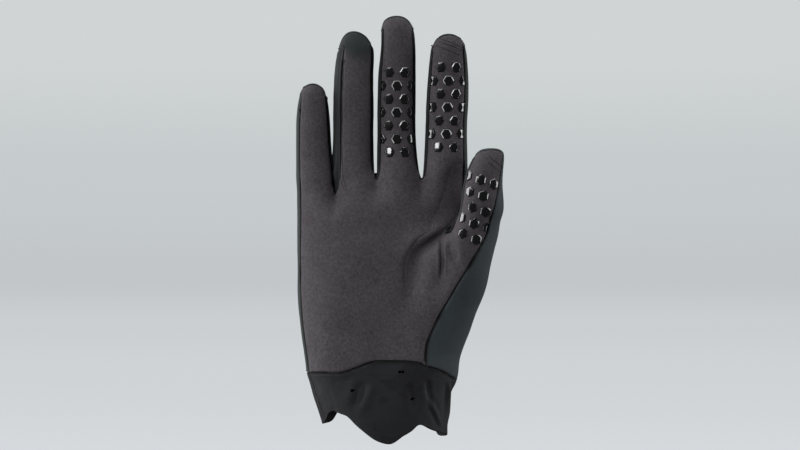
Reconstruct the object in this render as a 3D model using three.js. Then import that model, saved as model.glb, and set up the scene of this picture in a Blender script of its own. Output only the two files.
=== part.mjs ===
// A right-hand cycling glove in millimetres, filled out as a hand fills it: +Z up to the fingers, palm toward -Y,
// thumb toward +X. The origin is the middle of the wrist, where the cuff is sewn to the palm.
import * as THREE from 'three';

// Hand
const PALM_LENGTH = 104;        // wrist to the crotch between ring and middle finger
const PALM_DEPTH = 32;
const WRIST_WIDTH = 82.8;
const THUMB_SIDE = 63.3;        // centre line to the outer side of the thumb's root
const THUMB_ROOT = 75;          // height at which the thumb leaves the palm
const THUMB_FORWARD = 19;       // how far the thumb's tip stands in front of the palm's middle
const FINGER_GAP = 1.2;         // between two fingers where they leave the palm
const FINGER_WEB_SAG = 1.2;     // the crotch's lowest point below its two ends
const THUMB_WEB_SAG = 0.5;
const THUMB_TIP_LEAN = 1;       // the thumb's tip stands this far outward of its dome's middle
const VALLEY_FRONT = 1.3;       // half the strip of cloth at the bottom of the thumb's valley
const VALLEY_BACK = 1.8;
const VALLEY_OPENING = 0.4;     // what both grow by up to the thumb's root
const VALLEY_REACH = 5;         // how far from its bottom the valley's sides slope

// Fingers: free length, and width at the middle of that length
const PINKY_LENGTH = 60;
const PINKY_WIDTH = 18.9;
const RING_LENGTH = 80.4;
const RING_WIDTH = 22.2;
const MIDDLE_LENGTH = 88.8;
const MIDDLE_WIDTH = 20.6;
const INDEX_LENGTH = 79.3;
const INDEX_WIDTH = 22.8;
const THUMB_LENGTH = 46;
const THUMB_WIDTH = 22.4;
const CURL = 9;                 // how far the middle fingertip comes forward

// Cuff
const CUFF_LENGTH = 38.6;       // origin to the hem's point
const HEM_WIDTH = 68.5;
const HEM_DEPTH = 39;
const HEM_SHIFT = 1.3;          // the hem's middle lies this far from the glove's, toward the thumb

// Cloth and seams
const WALL = 1.2;
const SEAM_GAP = 0.34;
const SEAM_INSET = 1.7;         // from the glove's left outline to the seam of suede and back fabric
const BACK_INSET = 3.6;         // from the outline to the outermost mesh column of the back

// Silicone hexagons
const DOT_WIDTH = 5.8;          // over corners
const DOT_HEIGHT = 1;
const DOT_ACROSS = 8.9;
const DOT_ROW = 7.15;
const DOT_CLEARANCE = 0.3;
const DOT_TOP = 0.84;           // share of the hexagon left flat on top
const GRIP_LENGTH = 43;         // first to last row of hexagons on a finger
const MIDDLE_GRIP = 31.2;       // fingertip to the first row
const INDEX_GRIP = 19;
const THUMB_GRIP = 13.7;        // thumb's root to the middle of its hexagons
const THUMB_GRIP_TURN = 81;     // degrees that the thumb's pattern is turned

// Mesh columns across each finger, down each of its sides, and across the thumb
const ACROSS = 4;
const SIDE = 3;
const THUMB_ACROSS = 6;
const THUMB_OUTER = 5;
const LOWER_ROWS = 13;
const UPPER_ROWS = 5;
const CUFF_ROWS = 6;

// Palm sections from the wrist (up = 0) to the thumb's root (up = 1, share of THUMB_ROOT).
// left and right: share of the way from the wrist's edge to the palm's or the thumb root's edge.
// seam: suede and thumb panel meet, valley: fold at the foot of the thumb, both as shares of the right edge.
// thick: share of PALM_DEPTH, forward: share of THUMB_FORWARD, dip: fold depth as a share of PALM_DEPTH.
const palmRows = [
  { up: -0.10, left: 0.00, right: 0.00, seam: 0.55, valley: 0.29, thick: 1.14, forward: 0.00, dip: 0.00 },
  { up: 0.08, left: 0.15, right: 0.03, seam: 0.52, valley: 0.29, thick: 1.12, forward: 0.02, dip: 0.00 },
  { up: 0.20, left: 0.42, right: 0.18, seam: 0.49, valley: 0.29, thick: 1.10, forward: 0.07, dip: 0.00 },
  { up: 0.31, left: 0.66, right: 0.33, seam: 0.52, valley: 0.30, thick: 1.08, forward: 0.15, dip: 0.00 },
  { up: 0.43, left: 0.83, right: 0.45, seam: 0.59, valley: 0.30, thick: 1.06, forward: 0.25, dip: 0.01 },
  { up: 0.55, left: 0.95, right: 0.63, seam: 0.65, valley: 0.30, thick: 1.04, forward: 0.36, dip: 0.04 },
  { up: 0.66, left: 1.00, right: 0.73, seam: 0.71, valley: 0.305, thick: 1.03, forward: 0.46, dip: 0.07 },
  { up: 0.77, left: 1.00, right: 0.80, seam: 0.79, valley: 0.315, thick: 1.01, forward: 0.54, dip: 0.10 },
  { up: 0.86, left: 1.00, right: 0.87, seam: 0.84, valley: 0.35, thick: 1.00, forward: 0.60, dip: 0.13 },
  { up: 0.93, left: 1.00, right: 0.93, seam: 0.87, valley: 0.44, thick: 0.99, forward: 0.64, dip: 0.15 },
  { up: 1.00, left: 1.00, right: 1.00, seam: 0.89, valley: 0.56, thick: 0.98, forward: 0.68, dip: 0.17 },
];

// Fingers. base: width at the palm, tip: width under the dome, both as shares of the finger's width.
// lean rows: up the free length, sideways as a share of the width. seamLeft and seamRight: degrees from the side
// at which the suede ends. root: height of the base over the palm's crotch, as a share of PALM_LENGTH.
// spread: share of the free length over which the finger keeps its full width at the palm.
const fingers = [
  { name: 'pinky', length: PINKY_LENGTH, width: PINKY_WIDTH, base: 1.09, tip: 0.84, curl: 0.8, root: -0.08,
    spread: 0.18, seamLeft: 36, seamRight: 26, dome: 0.78, rows: 7,
    lean: [{ up: 0, to: 0 }, { up: 0.3, to: -0.045 }, { up: 0.7, to: -0.075 }, { up: 1, to: -0.065 }] },
  { name: 'ring', length: RING_LENGTH, width: RING_WIDTH, base: 0.923, tip: 0.84, curl: 1, root: 0,
    spread: 0, seamLeft: 58, seamRight: 26, dome: 0.82, rows: 10,
    lean: [{ up: 0, to: 0 }, { up: 0.3, to: -0.075 }, { up: 0.7, to: -0.07 }, { up: 1, to: -0.03 }] },
  { name: 'middle', length: MIDDLE_LENGTH, width: MIDDLE_WIDTH, base: 1.14, tip: 0.92, curl: 1, root: 0,
    spread: 0, seamLeft: 31, seamRight: 25, dome: 0.68, rows: 10,
    lean: [{ up: 0, to: 0 }, { up: 0.3, to: -0.065 }, { up: 0.7, to: -0.045 }, { up: 1, to: -0.025 }] },
  { name: 'index', length: INDEX_LENGTH, width: INDEX_WIDTH, base: 1.08, tip: 0.87, curl: 0.9, root: 0,
    spread: 0, seamLeft: 28, seamRight: 34, dome: 0.72, rows: 9,
    lean: [{ up: 0, to: 0 }, { up: 0.35, to: 0.02 }, { up: 0.7, to: 0.07 }, { up: 1, to: 0.07 }] },
];

// Thumb sections over its root. to: centre, as a share of THUMB_SIDE; half: of the width;
// forward: of the middle, share of THUMB_FORWARD; seam: where the suede ends, share of the half width.
const thumbRows = [
  { up: 0.00, to: 0.785, half: 0.61, forward: 0.68, seam: 0.40 },
  { up: 0.10, to: 0.82, half: 0.56, forward: 0.76, seam: 0.42 },
  { up: 0.20, to: 0.84, half: 0.545, forward: 0.82, seam: 0.47 },
  { up: 0.30, to: 0.852, half: 0.515, forward: 0.87, seam: 0.55 },
  { up: 0.42, to: 0.849, half: 0.50, forward: 0.92, seam: 0.68 },
  { up: 0.54, to: 0.849, half: 0.475, forward: 0.95, seam: 0.82 },
  { up: 0.64, to: 0.858, half: 0.455, forward: 0.97, seam: 0.88 },
  { up: 0.74, to: 0.872, half: 0.43, forward: 0.99, seam: 0.90 },
  { up: 1.00, to: 0.93, half: 0.36, forward: 1.00, seam: 0.90 },
];

// Seam of palm and cuff on the front: across as a share of half the wrist, up as a share of CUFF_LENGTH
const cuffSeamRows = [
  { across: -1.00, up: -0.02 }, { across: -0.56, up: -0.01 }, { across: -0.42, up: 0.03 },
  { across: -0.26, up: 0.10 }, { across: -0.04, up: 0.168 }, { across: 0.21, up: 0.163 },
  { across: 0.50, up: 0.13 }, { across: 0.58, up: 0.05 }, { across: 0.72, up: -0.01 },
  { across: 0.88, up: -0.09 }, { across: 1.00, up: -0.11 },
];

// Hem of the cuff's front: across as a share of half the hem, down as a share of CUFF_LENGTH
const hemRows = [
  { across: -0.90, down: 0.71 }, { across: -0.81, down: 0.60 }, { across: -0.70, down: 0.586 },
  { across: -0.60, down: 0.61 }, { across: -0.39, down: 0.775 }, { across: -0.12, down: 0.955 },
  { across: 0.07, down: 1.00 }, { across: 0.26, down: 0.92 }, { across: 0.42, down: 0.835 },
  { across: 0.62, down: 0.765 }, { across: 0.81, down: 0.82 }, { across: 0.95, down: 0.875 },
];
const TAB_LEFT = 0.746;         // the back half's points beside the side seams, shares of CUFF_LENGTH
const TAB_RIGHT = 0.928;
const HEM_BACK = 0.56;

// Cuff outline below the wrist. down: share of CUFF_LENGTH; left, right: share of the way from wrist to hem edge
const cuffRows = [
  { down: 0.00, left: 0.00, right: 0.00 }, { down: 0.27, left: 0.34, right: 0.55 },
  { down: 0.55, left: 0.72, right: 0.97 }, { down: 0.75, left: 1.00, right: 1.00 },
  { down: 1.00, left: 1.03, right: 1.00 },
];

// Folds pressed into the cloth of the front: points across (share of THUMB_SIDE) and up (share of THUMB_ROOT);
// depth and width are shares of PALM_DEPTH
const folds = [
  { name: 'thumb_fold', depth: 0.069, width: 0.106,
    path: [{ across: 0.545, up: 1.00 }, { across: 0.51, up: 0.88 }, { across: 0.515, up: 0.76 },
      { across: 0.50, up: 0.67 }] },
  { name: 'heel_fold', depth: 0.031, width: 0.156,
    path: [{ across: 0.57, up: 0.94 }, { across: 0.595, up: 0.84 }, { across: 0.63, up: 0.78 }] },
];

// Soft hollow and pad of the palm. across: middle, from the centre line or from the left edge, and wide: both shares
// of THUMB_SIDE; up and tall: shares of THUMB_ROOT; depth: share of PALM_DEPTH, negative where it stands out
const PALM_HOLLOW = { across: -0.063, up: 0.5, wide: 0.348, tall: 0.427, depth: 0.05 };
const HEEL_PAD = { across: 0.316, up: 0.33, wide: 0.253, tall: 0.293, depth: -0.056 };

// Rows of hexagons on the thumb, along its length: shift across in rows, first place and count along the row
const thumbGripRows = [
  { row: -1, first: 0.5, count: 2 }, { row: 0, first: -2, count: 5 },
  { row: 1, first: -1.6, count: 4 }, { row: 2, first: -1.2, count: 1 },
];

const radians = THREE.MathUtils.degToRad;
const lerp = THREE.MathUtils.lerp;
const clamp = THREE.MathUtils.clamp;
const smooth = THREE.MathUtils.smoothstep;

// Value of one named column of a table at a place, on a curve that doesn't overshoot its rows
function along(rows, by, key, at) {
  const place = clamp(at, rows[0][by], rows[rows.length - 1][by]);
  let i = 0;
  while (i < rows.length - 2 && place > rows[i + 1][by]) {
    i += 1;
  }
  const slope = (a) => {
    if (a < 0 || a >= rows.length - 1) {
      return null;
    }
    return (rows[a + 1][key] - rows[a][key]) / (rows[a + 1][by] - rows[a][by]);
  };
  const tangent = (a) => {
    const before = slope(a - 1);
    const after = slope(a);
    if (before === null) {
      return after;
    }
    if (after === null) {
      return before;
    }
    return before * after <= 0 ? 0 : (2 * before * after) / (before + after);
  };
  const step = rows[i + 1][by] - rows[i][by];
  const t = (place - rows[i][by]) / step;
  const u = 1 - t;
  return rows[i][key] * (1 + 2 * t) * u * u + rows[i + 1][key] * (3 - 2 * t) * t * t
    + step * (tangent(i) * t * u * u - tangent(i + 1) * t * t * u);
}

// Rounded section: how far front and back stand off the middle at a share of the half width
function round(share, power = 2.5) {
  return Math.pow(Math.max(0, 1 - Math.pow(Math.min(Math.abs(share), 1), power)), 1 / power);
}

function sectionPoint(angle, halfWidth, halfDepth, power = 2.35) {
  const c = Math.cos(angle);
  const s = Math.sin(angle);
  return [
    halfWidth * Math.sign(c) * Math.pow(Math.abs(c), 2 / power),
    halfDepth * Math.sign(s) * Math.pow(Math.abs(s), 2 / power),
  ];
}

function sectionAngle(share, power = 2.35) {
  return Math.acos(Math.sign(share) * Math.pow(Math.min(Math.abs(share), 1), power / 2));
}

const baseWidths = fingers.map((f) => f.base * f.width);
const palmWidth = baseWidths.reduce((a, b) => a + b, 0) + FINGER_GAP * (fingers.length - 1);
const FINGER_COLUMNS = ACROSS + 1;
const lastPalm = fingers.length * FINGER_COLUMNS - 1;
const lastFront = lastPalm + 1 + THUMB_ACROSS;

fingers.forEach((f, i) => {
  const before = baseWidths.slice(0, i).reduce((a, b) => a + b, 0) + i * FINGER_GAP;
  f.middle = before + baseWidths[i] / 2 - palmWidth / 2;
  f.first = i * FINGER_COLUMNS;
  f.foot = PALM_LENGTH * (1 + f.root);
});

// One list of points for the whole outer skin, and four-sided faces that name their cloth panel
const points = [];
const faces = [];

function point(x, y, z) {
  points.push(new THREE.Vector3(x, y, z));
  return points.length - 1;
}

function face(panel, a, b, c, d) {
  faces.push({ panel, ids: [a, b, c, d] });
}

// Joins two closed rings of the same count; panelOf names the cloth of each column
function joinRings(lower, upper, panelOf) {
  const n = lower.length;
  for (let i = 0; i < n; i += 1) {
    const j = (i + 1) % n;
    face(panelOf(i), lower[i], lower[j], upper[j], upper[i]);
  }
}

// Share of the palm's front width, from the little finger's seam to the forefinger's, of each palm column
function palmShare(column) {
  const finger = fingers[Math.floor(column / FINGER_COLUMNS)];
  const inFinger = (column % FINGER_COLUMNS) / ACROSS;
  const index = Math.floor(column / FINGER_COLUMNS);
  const edge = SEAM_INSET;
  const start = index === 0 ? edge : 0;
  const end = index === fingers.length - 1 ? edge : 0;
  const left = finger.middle - (finger.base * finger.width) / 2 + start;
  const right = finger.middle + (finger.base * finger.width) / 2 - end;
  return (lerp(left, right, inFinger) + palmWidth / 2 - edge) / (palmWidth - 2 * edge);
}

const wristHalf = WRIST_WIDTH / 2;

function edges(z) {
  const up = z / THUMB_ROOT;
  const left = -lerp(wristHalf, palmWidth / 2, along(palmRows, 'up', 'left', up));
  const right = lerp(wristHalf, THUMB_SIDE, along(palmRows, 'up', 'right', up));
  return { up, left, right };
}

// Folds: how far a point of the front is pressed in
function foldAt(x, z) {
  let depth = 0;
  for (const fold of folds) {
    let near = Infinity;
    for (let i = 0; i < fold.path.length - 1; i += 1) {
      const a = fold.path[i];
      const b = fold.path[i + 1];
      const ax = a.across * THUMB_SIDE;
      const az = a.up * THUMB_ROOT;
      const bx = b.across * THUMB_SIDE - ax;
      const bz = b.up * THUMB_ROOT - az;
      const t = clamp(((x - ax) * bx + (z - az) * bz) / (bx * bx + bz * bz), 0, 1);
      near = Math.min(near, Math.hypot(x - ax - t * bx, z - az - t * bz));
    }
    depth += PALM_DEPTH * fold.depth * Math.exp(-((near / (PALM_DEPTH * fold.width)) ** 2));
  }
  return depth;
}

// Depth of a round hollow or pad at a place, x counted from where its column across starts
function swellAt(swell, x, z) {
  const aside = (x - swell.across * THUMB_SIDE) / (swell.wide * THUMB_SIDE);
  const above = (z - swell.up * THUMB_ROOT) / (swell.tall * THUMB_ROOT);
  return PALM_DEPTH * swell.depth * Math.exp(-(aside ** 2) - above ** 2);
}

// Middle of the hand's thickness, which bends forward toward the thumb
function middleOf(x, right, forward) {
  return -THUMB_FORWARD * forward * smooth(x / right, 0.16, 0.86);
}

// One point of the lower hand. side: 'front', 'right', 'back' or 'left'; column within that side.
function lowerPoint(side, column, z) {
  const { up, left, right } = edges(z);
  const half = (right - left) / 2;
  const centre = (right + left) / 2;
  const row = (key) => along(palmRows, 'up', key, up);
  const thick = (PALM_DEPTH / 2) * row('thick');
  const valley = right * row('valley');
  const seam = right * row('seam');
  const near = (side === 'back' ? VALLEY_BACK : VALLEY_FRONT) + VALLEY_OPENING * clamp(up, 0, 1);
  let x;
  let sign;
  if (side === 'front') {
    sign = -1;
    x = column <= lastPalm
      ? lerp(left + SEAM_INSET, valley - near, palmShare(column))
      : lerp(valley + near, seam, (column - lastPalm - 1) / THUMB_ACROSS);
  } else if (side === 'back') {
    sign = 1;
    const split = right * lerp(0.62, 0.67, clamp(up, 0, 1));
    const last = centre + half * 0.86;
    x = column <= lastPalm
      ? lerp(left + BACK_INSET, split - near, palmShare(column))
      : lerp(split + near, last, (column - lastPalm - 1) / THUMB_ACROSS);
  } else {
    const from = side === 'right' ? -sectionAngle((seam - centre) / half, 2.5) : Math.PI - 0.5;
    const to = side === 'right' ? sectionAngle(0.86, 2.5) : Math.PI + sectionAngle((half - SEAM_INSET) / half, 2.5);
    const count = side === 'right' ? THUMB_OUTER : SIDE;
    const start = side === 'right' ? from : Math.PI - sectionAngle((half - BACK_INSET) / half, 2.5);
    const [dx, dy] = sectionPoint(lerp(start, to, column / count), half, thick, 2.5);
    x = centre + dx;
    return [x, middleOf(x, right, row('forward')) + dy];
  }
  const dip = PALM_DEPTH * row('dip');
  const toValley = (sign < 0 ? x - valley : x - right * 0.67) / VALLEY_REACH;
  let y = middleOf(x, right, row('forward')) + sign * thick * round((x - centre) / half);
  y -= sign * dip * Math.exp(-toValley * toValley) * (sign < 0 ? 1 : 0.3);
  if (sign < 0) {
    y += swellAt(PALM_HOLLOW, x, z) + swellAt(HEEL_PAD, x - left, z) + foldAt(x, z);
  }
  return [x, y];
}

function seamHeight(side, column) {
  if (side === 'front') {
    const { left, right } = edges(0);
    const [x] = lowerPoint('front', column, 0);
    return CUFF_LENGTH * along(cuffSeamRows, 'across', 'up', x < 0 ? -x / left : x / right);
  }
  if (side === 'right') {
    return CUFF_LENGTH * lerp(0.13, -0.11, smooth(column / THUMB_OUTER, 0.0, 0.45));
  }
  if (side === 'left') {
    return CUFF_LENGTH * -0.02;
  }
  return CUFF_LENGTH * lerp(-0.02, -0.11, column / lastFront);
}

// Columns of a lower ring in order: front from little finger to thumb, outer side, back, left side
function ringOrder() {
  const order = [];
  for (let i = 0; i <= lastFront; i += 1) {
    order.push({ side: 'front', column: i });
  }
  for (let i = 1; i < THUMB_OUTER; i += 1) {
    order.push({ side: 'right', column: i });
  }
  for (let i = lastFront; i >= 0; i -= 1) {
    order.push({ side: 'back', column: i });
  }
  for (let i = 1; i < SIDE; i += 1) {
    order.push({ side: 'left', column: i });
  }
  return order;
}

const order = ringOrder();
const startRight = lastFront;
const startBack = lastFront + THUMB_OUTER;
const startLeft = startBack + lastFront;
const at = (side, column) => {
  if (side === 'front') {
    return column;
  }
  return side === 'back' ? startBack + lastFront - column : startLeft + column;
};

function lowerPanel(i) {
  if (i < startRight) {
    return 'palm_panel';
  }
  return i < startBack + THUMB_ACROSS ? 'thumb_outer_panel' : 'back_panel';
}

// Cuff: the lower hand's columns carried on down to the hem
const CUFF_SIDE = startRight + 3;

function cuffPanel(i) {
  return i < CUFF_SIDE ? 'cuff_front' : 'cuff_back';
}

function hemHeight(i) {
  const { side, column } = order[i];
  if (i <= CUFF_SIDE) {
    const span = cuffTurn(i, 1);
    return -CUFF_LENGTH * along(hemRows, 'across', 'down', span);
  }
  if (side === 'right') {
    return -CUFF_LENGTH * TAB_RIGHT;
  }
  if (side === 'left') {
    return -CUFF_LENGTH * TAB_LEFT;
  }
  const share = column / lastFront;
  const tab = lerp(TAB_LEFT, TAB_RIGHT, share);
  const rise = smooth(Math.min(share, 1 - share), 0.0, 0.12);
  return -CUFF_LENGTH * lerp(tab, HEM_BACK, rise);
}

// Place round the cuff's section, -1 at the left edge to 1 at the right, moving a little from wrist to hem
function cuffTurn(i, down) {
  const { side, column } = order[i];
  const { left, right } = edges(0);
  const half = (right - left) / 2;
  const centre = (right + left) / 2;
  const [x] = lowerPoint(side, column, 0);
  const share = (x - centre) / half;
  return share < 0 && side === 'front' ? share * lerp(1, 0.92, down) : share;
}

function cuffPoint(i, z) {
  const { side, column } = order[i];
  const down = clamp(-z / CUFF_LENGTH, -0.3, 1.05);
  const top = lowerPoint(side, column, Math.max(z, 0));
  const share = clamp(down, 0, 1);
  const left = -lerp(wristHalf, HEM_WIDTH / 2 - HEM_SHIFT, along(cuffRows, 'down', 'left', share));
  const right = lerp(wristHalf, HEM_WIDTH / 2 + HEM_SHIFT, along(cuffRows, 'down', 'right', share));
  if (z >= 0) {
    return top;
  }
  const turn = cuffTurn(i, share);
  const x = (left + right) / 2 + (turn * (right - left)) / 2;
  const depth = lerp(PALM_DEPTH * 1.13, HEM_DEPTH, share) / 2;
  const base = lowerPoint(side, column, 0);
  const oldDepth = (PALM_DEPTH / 2) * along(palmRows, 'up', 'thick', 0);
  const flat = base[1] / oldDepth;
  const wanted = Math.sign(flat) * round(turn);
  const isSide = side === 'right' || side === 'left';
  const y = depth * (isSide ? flat : lerp(flat, wanted, share));
  return [x, y];
}

function buildHand() {
  // lower hand, from the cuff seam up to the thumb's root
  let ring = [];
  const rings = [];
  for (let r = 0; r <= LOWER_ROWS; r += 1) {
    ring = order.map(({ side, column }) => {
      const z = lerp(seamHeight(side, column), THUMB_ROOT, r / LOWER_ROWS);
      const [x, y] = lowerPoint(side, column, z);
      return point(x, y, z);
    });
    if (rings.length) {
      joinRings(rings[rings.length - 1], ring, lowerPanel);
    }
    rings.push(ring);
  }
  buildCuff(rings[0]);
  return ring;
}

function buildCuff(top) {
  let above = top;
  for (let r = 1; r <= CUFF_ROWS; r += 1) {
    const ring = order.map(({ side, column }, i) => {
      const z = lerp(seamHeight(side, column), hemHeight(i), r / CUFF_ROWS);
      const [x, y] = cuffPoint(i, z);
      return point(x, y, z);
    });
    joinRings(ring, above, cuffPanel);
    above = ring;
  }
}

// Web between two neighbours: from the front pair of points to the back pair, SIDE faces deep
function web(panel, frontLeft, frontRight, backLeft, backRight, sag) {
  const left = [frontLeft];
  const right = [frontRight];
  for (let i = 1; i < SIDE; i += 1) {
    const t = i / SIDE;
    const low = sag * Math.sin(Math.PI * t);
    const a = points[frontLeft].clone().lerp(points[backLeft], t);
    const b = points[frontRight].clone().lerp(points[backRight], t);
    left.push(point(a.x, a.y, a.z - low));
    right.push(point(b.x, b.y, b.z - low));
  }
  left.push(backLeft);
  right.push(backRight);
  for (let i = 0; i < SIDE; i += 1) {
    face(panel, left[i], right[i], right[i + 1], left[i + 1]);
  }
  return { left, right };
}

// Height of the palm's top edge at a column: each finger's foot in its middle, the crotches between
function topHeight(side, column) {
  const f = fingers[Math.floor(column / FINGER_COLUMNS)];
  const index = fingers.indexOf(f);
  const inFinger = (column % FINGER_COLUMNS) / ACROSS;
  const crotch = (a, b) => Math.min(fingers[a].foot, fingers[b].foot);
  const left = index > 0 ? crotch(index - 1, index) : f.foot;
  const right = index < fingers.length - 1 ? crotch(index, index + 1) : f.foot;
  return lerp(left, right, inFinger) - (side === 'back' ? 0.04 * PALM_LENGTH : 0);
}

// Ring of a finger: front, right side, back, left side, as angles about its section
function fingerAngles(f) {
  const angles = [];
  const left = radians(f.seamLeft);
  const right = radians(f.seamRight);
  const back = radians(36);
  for (let i = 0; i <= ACROSS; i += 1) {
    angles.push(lerp(-Math.PI + left, -right, i / ACROSS));
  }
  for (let i = 1; i < SIDE; i += 1) {
    angles.push(lerp(-right, back, i / SIDE));
  }
  for (let i = 0; i <= ACROSS; i += 1) {
    angles.push(lerp(back, Math.PI - back, i / ACROSS));
  }
  for (let i = 1; i < SIDE; i += 1) {
    angles.push(lerp(Math.PI - back, Math.PI + left, i / SIDE));
  }
  return angles;
}

function fingerSection(f, up) {
  const body = lerp(f.base, 1, smooth(up, f.spread, f.spread + 0.3));
  const taper = lerp(body, f.tip, smooth(up, 0.55, 1));
  const half = (f.width * taper) / 2;
  const middle = f.middle + f.width * along(f.lean, 'up', 'to', up);
  return {
    x: middle,
    y: -CURL * f.curl * up * up,
    halfWidth: half,
    halfDepth: half * lerp(1.06, 0.9, smooth(up, 0, 0.35)),
  };
}

// A dome over the last ring, laid out as a grid so that no point gathers all the faces
function closeTip(ring, across, centre, section, height, panelOf, lean = 0) {
  const sides = ring.length / 2 - across;
  const grid = [];
  const rimAt = (u, v) => {
    if (v === 0) {
      return ring[u];
    }
    if (v === sides) {
      return ring[2 * across + sides - u];
    }
    if (u === across) {
      return ring[across + v];
    }
    if (u === 0) {
      return ring[ring.length - v];
    }
    return null;
  };
  for (let v = 0; v <= sides; v += 1) {
    grid.push([]);
    for (let u = 0; u <= across; u += 1) {
      const rim = rimAt(u, v);
      if (rim !== null) {
        grid[v].push(rim);
        continue;
      }
      const su = (2 * u) / across - 1;
      const sv = (2 * v) / sides - 1;
      const reach = Math.max(Math.abs(su), Math.abs(sv));
      const angle = Math.atan2(sv, su);
      const out = Math.sin((reach * Math.PI) / 2) * 0.98;
      const [dx, dy] = sectionPoint(angle, section.halfWidth * out, section.halfDepth * out, 2);
      const rise = height * Math.sqrt(Math.max(0, 1 - out * out * 0.97));
      grid[v].push(point(centre.x + dx + lean * (rise / height), centre.y + dy - 0.06 * rise, centre.z + rise));
    }
  }
  for (let v = 0; v < sides; v += 1) {
    for (let u = 0; u < across; u += 1) {
      face(panelOf(u, v), grid[v][u], grid[v][u + 1], grid[v + 1][u + 1], grid[v + 1][u]);
    }
  }
}

function buildFinger(f, index, front, back, rightSide, leftSide) {
  const base = [...front, ...rightSide, ...back, ...leftSide];
  let below = base;
  const angles = fingerAngles(f);
  const backStart = ACROSS + SIDE;
  const leftStart = backStart + ACROSS;
  const onLeft = index === 0 ? 'back_panel' : `fourchette_${fingers[index - 1].name}_${f.name}`;
  const onRight = index === fingers.length - 1
    ? 'back_panel' : `fourchette_${f.name}_${fingers[index + 1].name}`;
  const panelOf = (i) => {
    if (i < ACROSS) {
      return 'palm_panel';
    }
    if (i < backStart) {
      return onRight;
    }
    return i < leftStart ? 'back_panel' : onLeft;
  };
  const dome = (f.dome * f.width * f.tip) / 2;
  const tubeTop = 1 - dome / f.length;
  for (let r = 1; r <= f.rows; r += 1) {
    const up = (tubeTop * r) / f.rows;
    const s = fingerSection(f, up);
    const shrink = r === f.rows ? 0.93 : 1;
    below = addRing(below, angles, s, shrink, (i) => lerp(points[base[i]].z, f.foot + f.length, up), panelOf);
  }
  const top = fingerSection(f, tubeTop);
  const centre = { x: top.x, y: top.y, z: f.foot + f.length * tubeTop };
  closeTip(below, ACROSS, centre, { halfWidth: top.halfWidth * 0.93, halfDepth: top.halfDepth * 0.93 }, dome,
    (u, v) => (v === 0 ? 'palm_panel' : 'back_panel'));
}

function addRing(below, angles, s, shrink, heightOf, panelOf) {
  const ring = angles.map((angle, i) => {
    const [dx, dy] = sectionPoint(angle, s.halfWidth * shrink, s.halfDepth * shrink);
    return point(s.x + dx, s.y + dy, heightOf(i));
  });
  joinRings(below, ring, panelOf);
  return ring;
}

// Palm above the thumb's root: a plain rounded section that turns into the row of fingers
function upperPoint(side, column, z, rise) {
  const half = palmWidth / 2;
  const thick = (PALM_DEPTH / 2) * lerp(0.98, 0.84, rise);
  if (side === 'left' || side === 'right') {
    const toFront = sectionAngle(1 - SEAM_INSET / half, 2.5);
    const toBack = sectionAngle(1 - BACK_INSET / half, 2.5);
    const turned = column / SIDE;
    const angle = side === 'left' ? Math.PI + lerp(-toBack, toFront, turned) : lerp(-toFront, toBack, turned);
    const [dx, dy] = sectionPoint(angle, half, thick, 2.5);
    return [dx, dy];
  }
  const sign = side === 'front' ? -1 : 1;
  const inset = side === 'front' ? SEAM_INSET : BACK_INSET;
  const x = lerp(inset - half, half - inset, palmShare(column));
  const f = fingers[Math.floor(column / FINGER_COLUMNS)];
  const flat = thick * round(x / half);
  const inFinger = (x - f.middle) / ((f.base * f.width) / 2);
  const scallop = thick * 0.9 * round(inFinger * 0.9, 2.35);
  const y = lerp(flat, Math.min(flat, scallop), smooth(rise, 0.45, 1) * 0.75);
  return [x, sign * y];
}

function buildPalmTop(root) {
  const palmSide = (side, column) => root[at(side, column)];
  const thumbWeb = web('thumb_gusset', palmSide('front', lastPalm), palmSide('front', lastPalm + 1),
    palmSide('back', lastPalm), palmSide('back', lastPalm + 1), THUMB_WEB_SAG);
  const columns = [];
  for (let i = 0; i <= lastPalm; i += 1) {
    columns.push({ side: 'front', column: i, id: palmSide('front', i) });
  }
  for (let i = 1; i < SIDE; i += 1) {
    columns.push({ side: 'right', column: i, id: thumbWeb.left[i] });
  }
  for (let i = lastPalm; i >= 0; i -= 1) {
    columns.push({ side: 'back', column: i, id: palmSide('back', i) });
  }
  for (let i = 1; i < SIDE; i += 1) {
    columns.push({ side: 'left', column: i, id: palmSide('left', i) });
  }
  let below = columns.map((c) => c.id);
  for (let r = 1; r <= UPPER_ROWS; r += 1) {
    const rise = r / UPPER_ROWS;
    const ring = columns.map(({ side, column, id }) => {
      const from = points[id];
      const near = side === 'front' || side === 'back' ? column : lastPalm * (side === 'right' ? 1 : 0);
      const z = lerp(from.z, topHeight(side, near), rise);
      const [x, y] = upperPoint(side, column, z, rise);
      const keep = 1 - smooth(rise, 0, side === 'right' || column > lastPalm - ACROSS ? 0.34 : 0.62);
      return point(lerp(x, from.x, keep), lerp(y, from.y, keep), z);
    });
    joinRings(below, ring, (i) => (i < lastPalm ? 'palm_panel' : 'back_panel'));
    below = ring;
  }
  return { below, thumbWeb };
}

function buildFingers(top) {
  const frontAt = (c) => top[c];
  const backAt = (c) => top[lastPalm + SIDE + lastPalm - c];
  const webs = [];
  for (let i = 0; i < fingers.length - 1; i += 1) {
    const c = fingers[i].first + ACROSS;
    const panel = `fourchette_${fingers[i].name}_${fingers[i + 1].name}`;
    webs.push(web(panel, frontAt(c), frontAt(c + 1), backAt(c), backAt(c + 1), FINGER_WEB_SAG));
  }
  fingers.forEach((f, i) => {
    const front = [];
    const back = [];
    for (let c = 0; c <= ACROSS; c += 1) {
      front.push(frontAt(f.first + c));
      back.push(backAt(f.first + ACROSS - c));
    }
    const right = i < webs.length ? webs[i].left.slice(1, -1)
      : top.slice(lastPalm + 1, lastPalm + SIDE);
    const left = i > 0 ? webs[i - 1].right.slice(1, -1).reverse() : top.slice(2 * lastPalm + SIDE + 1);
    buildFinger(f, i, front, back, right, left);
  });
}

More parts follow.
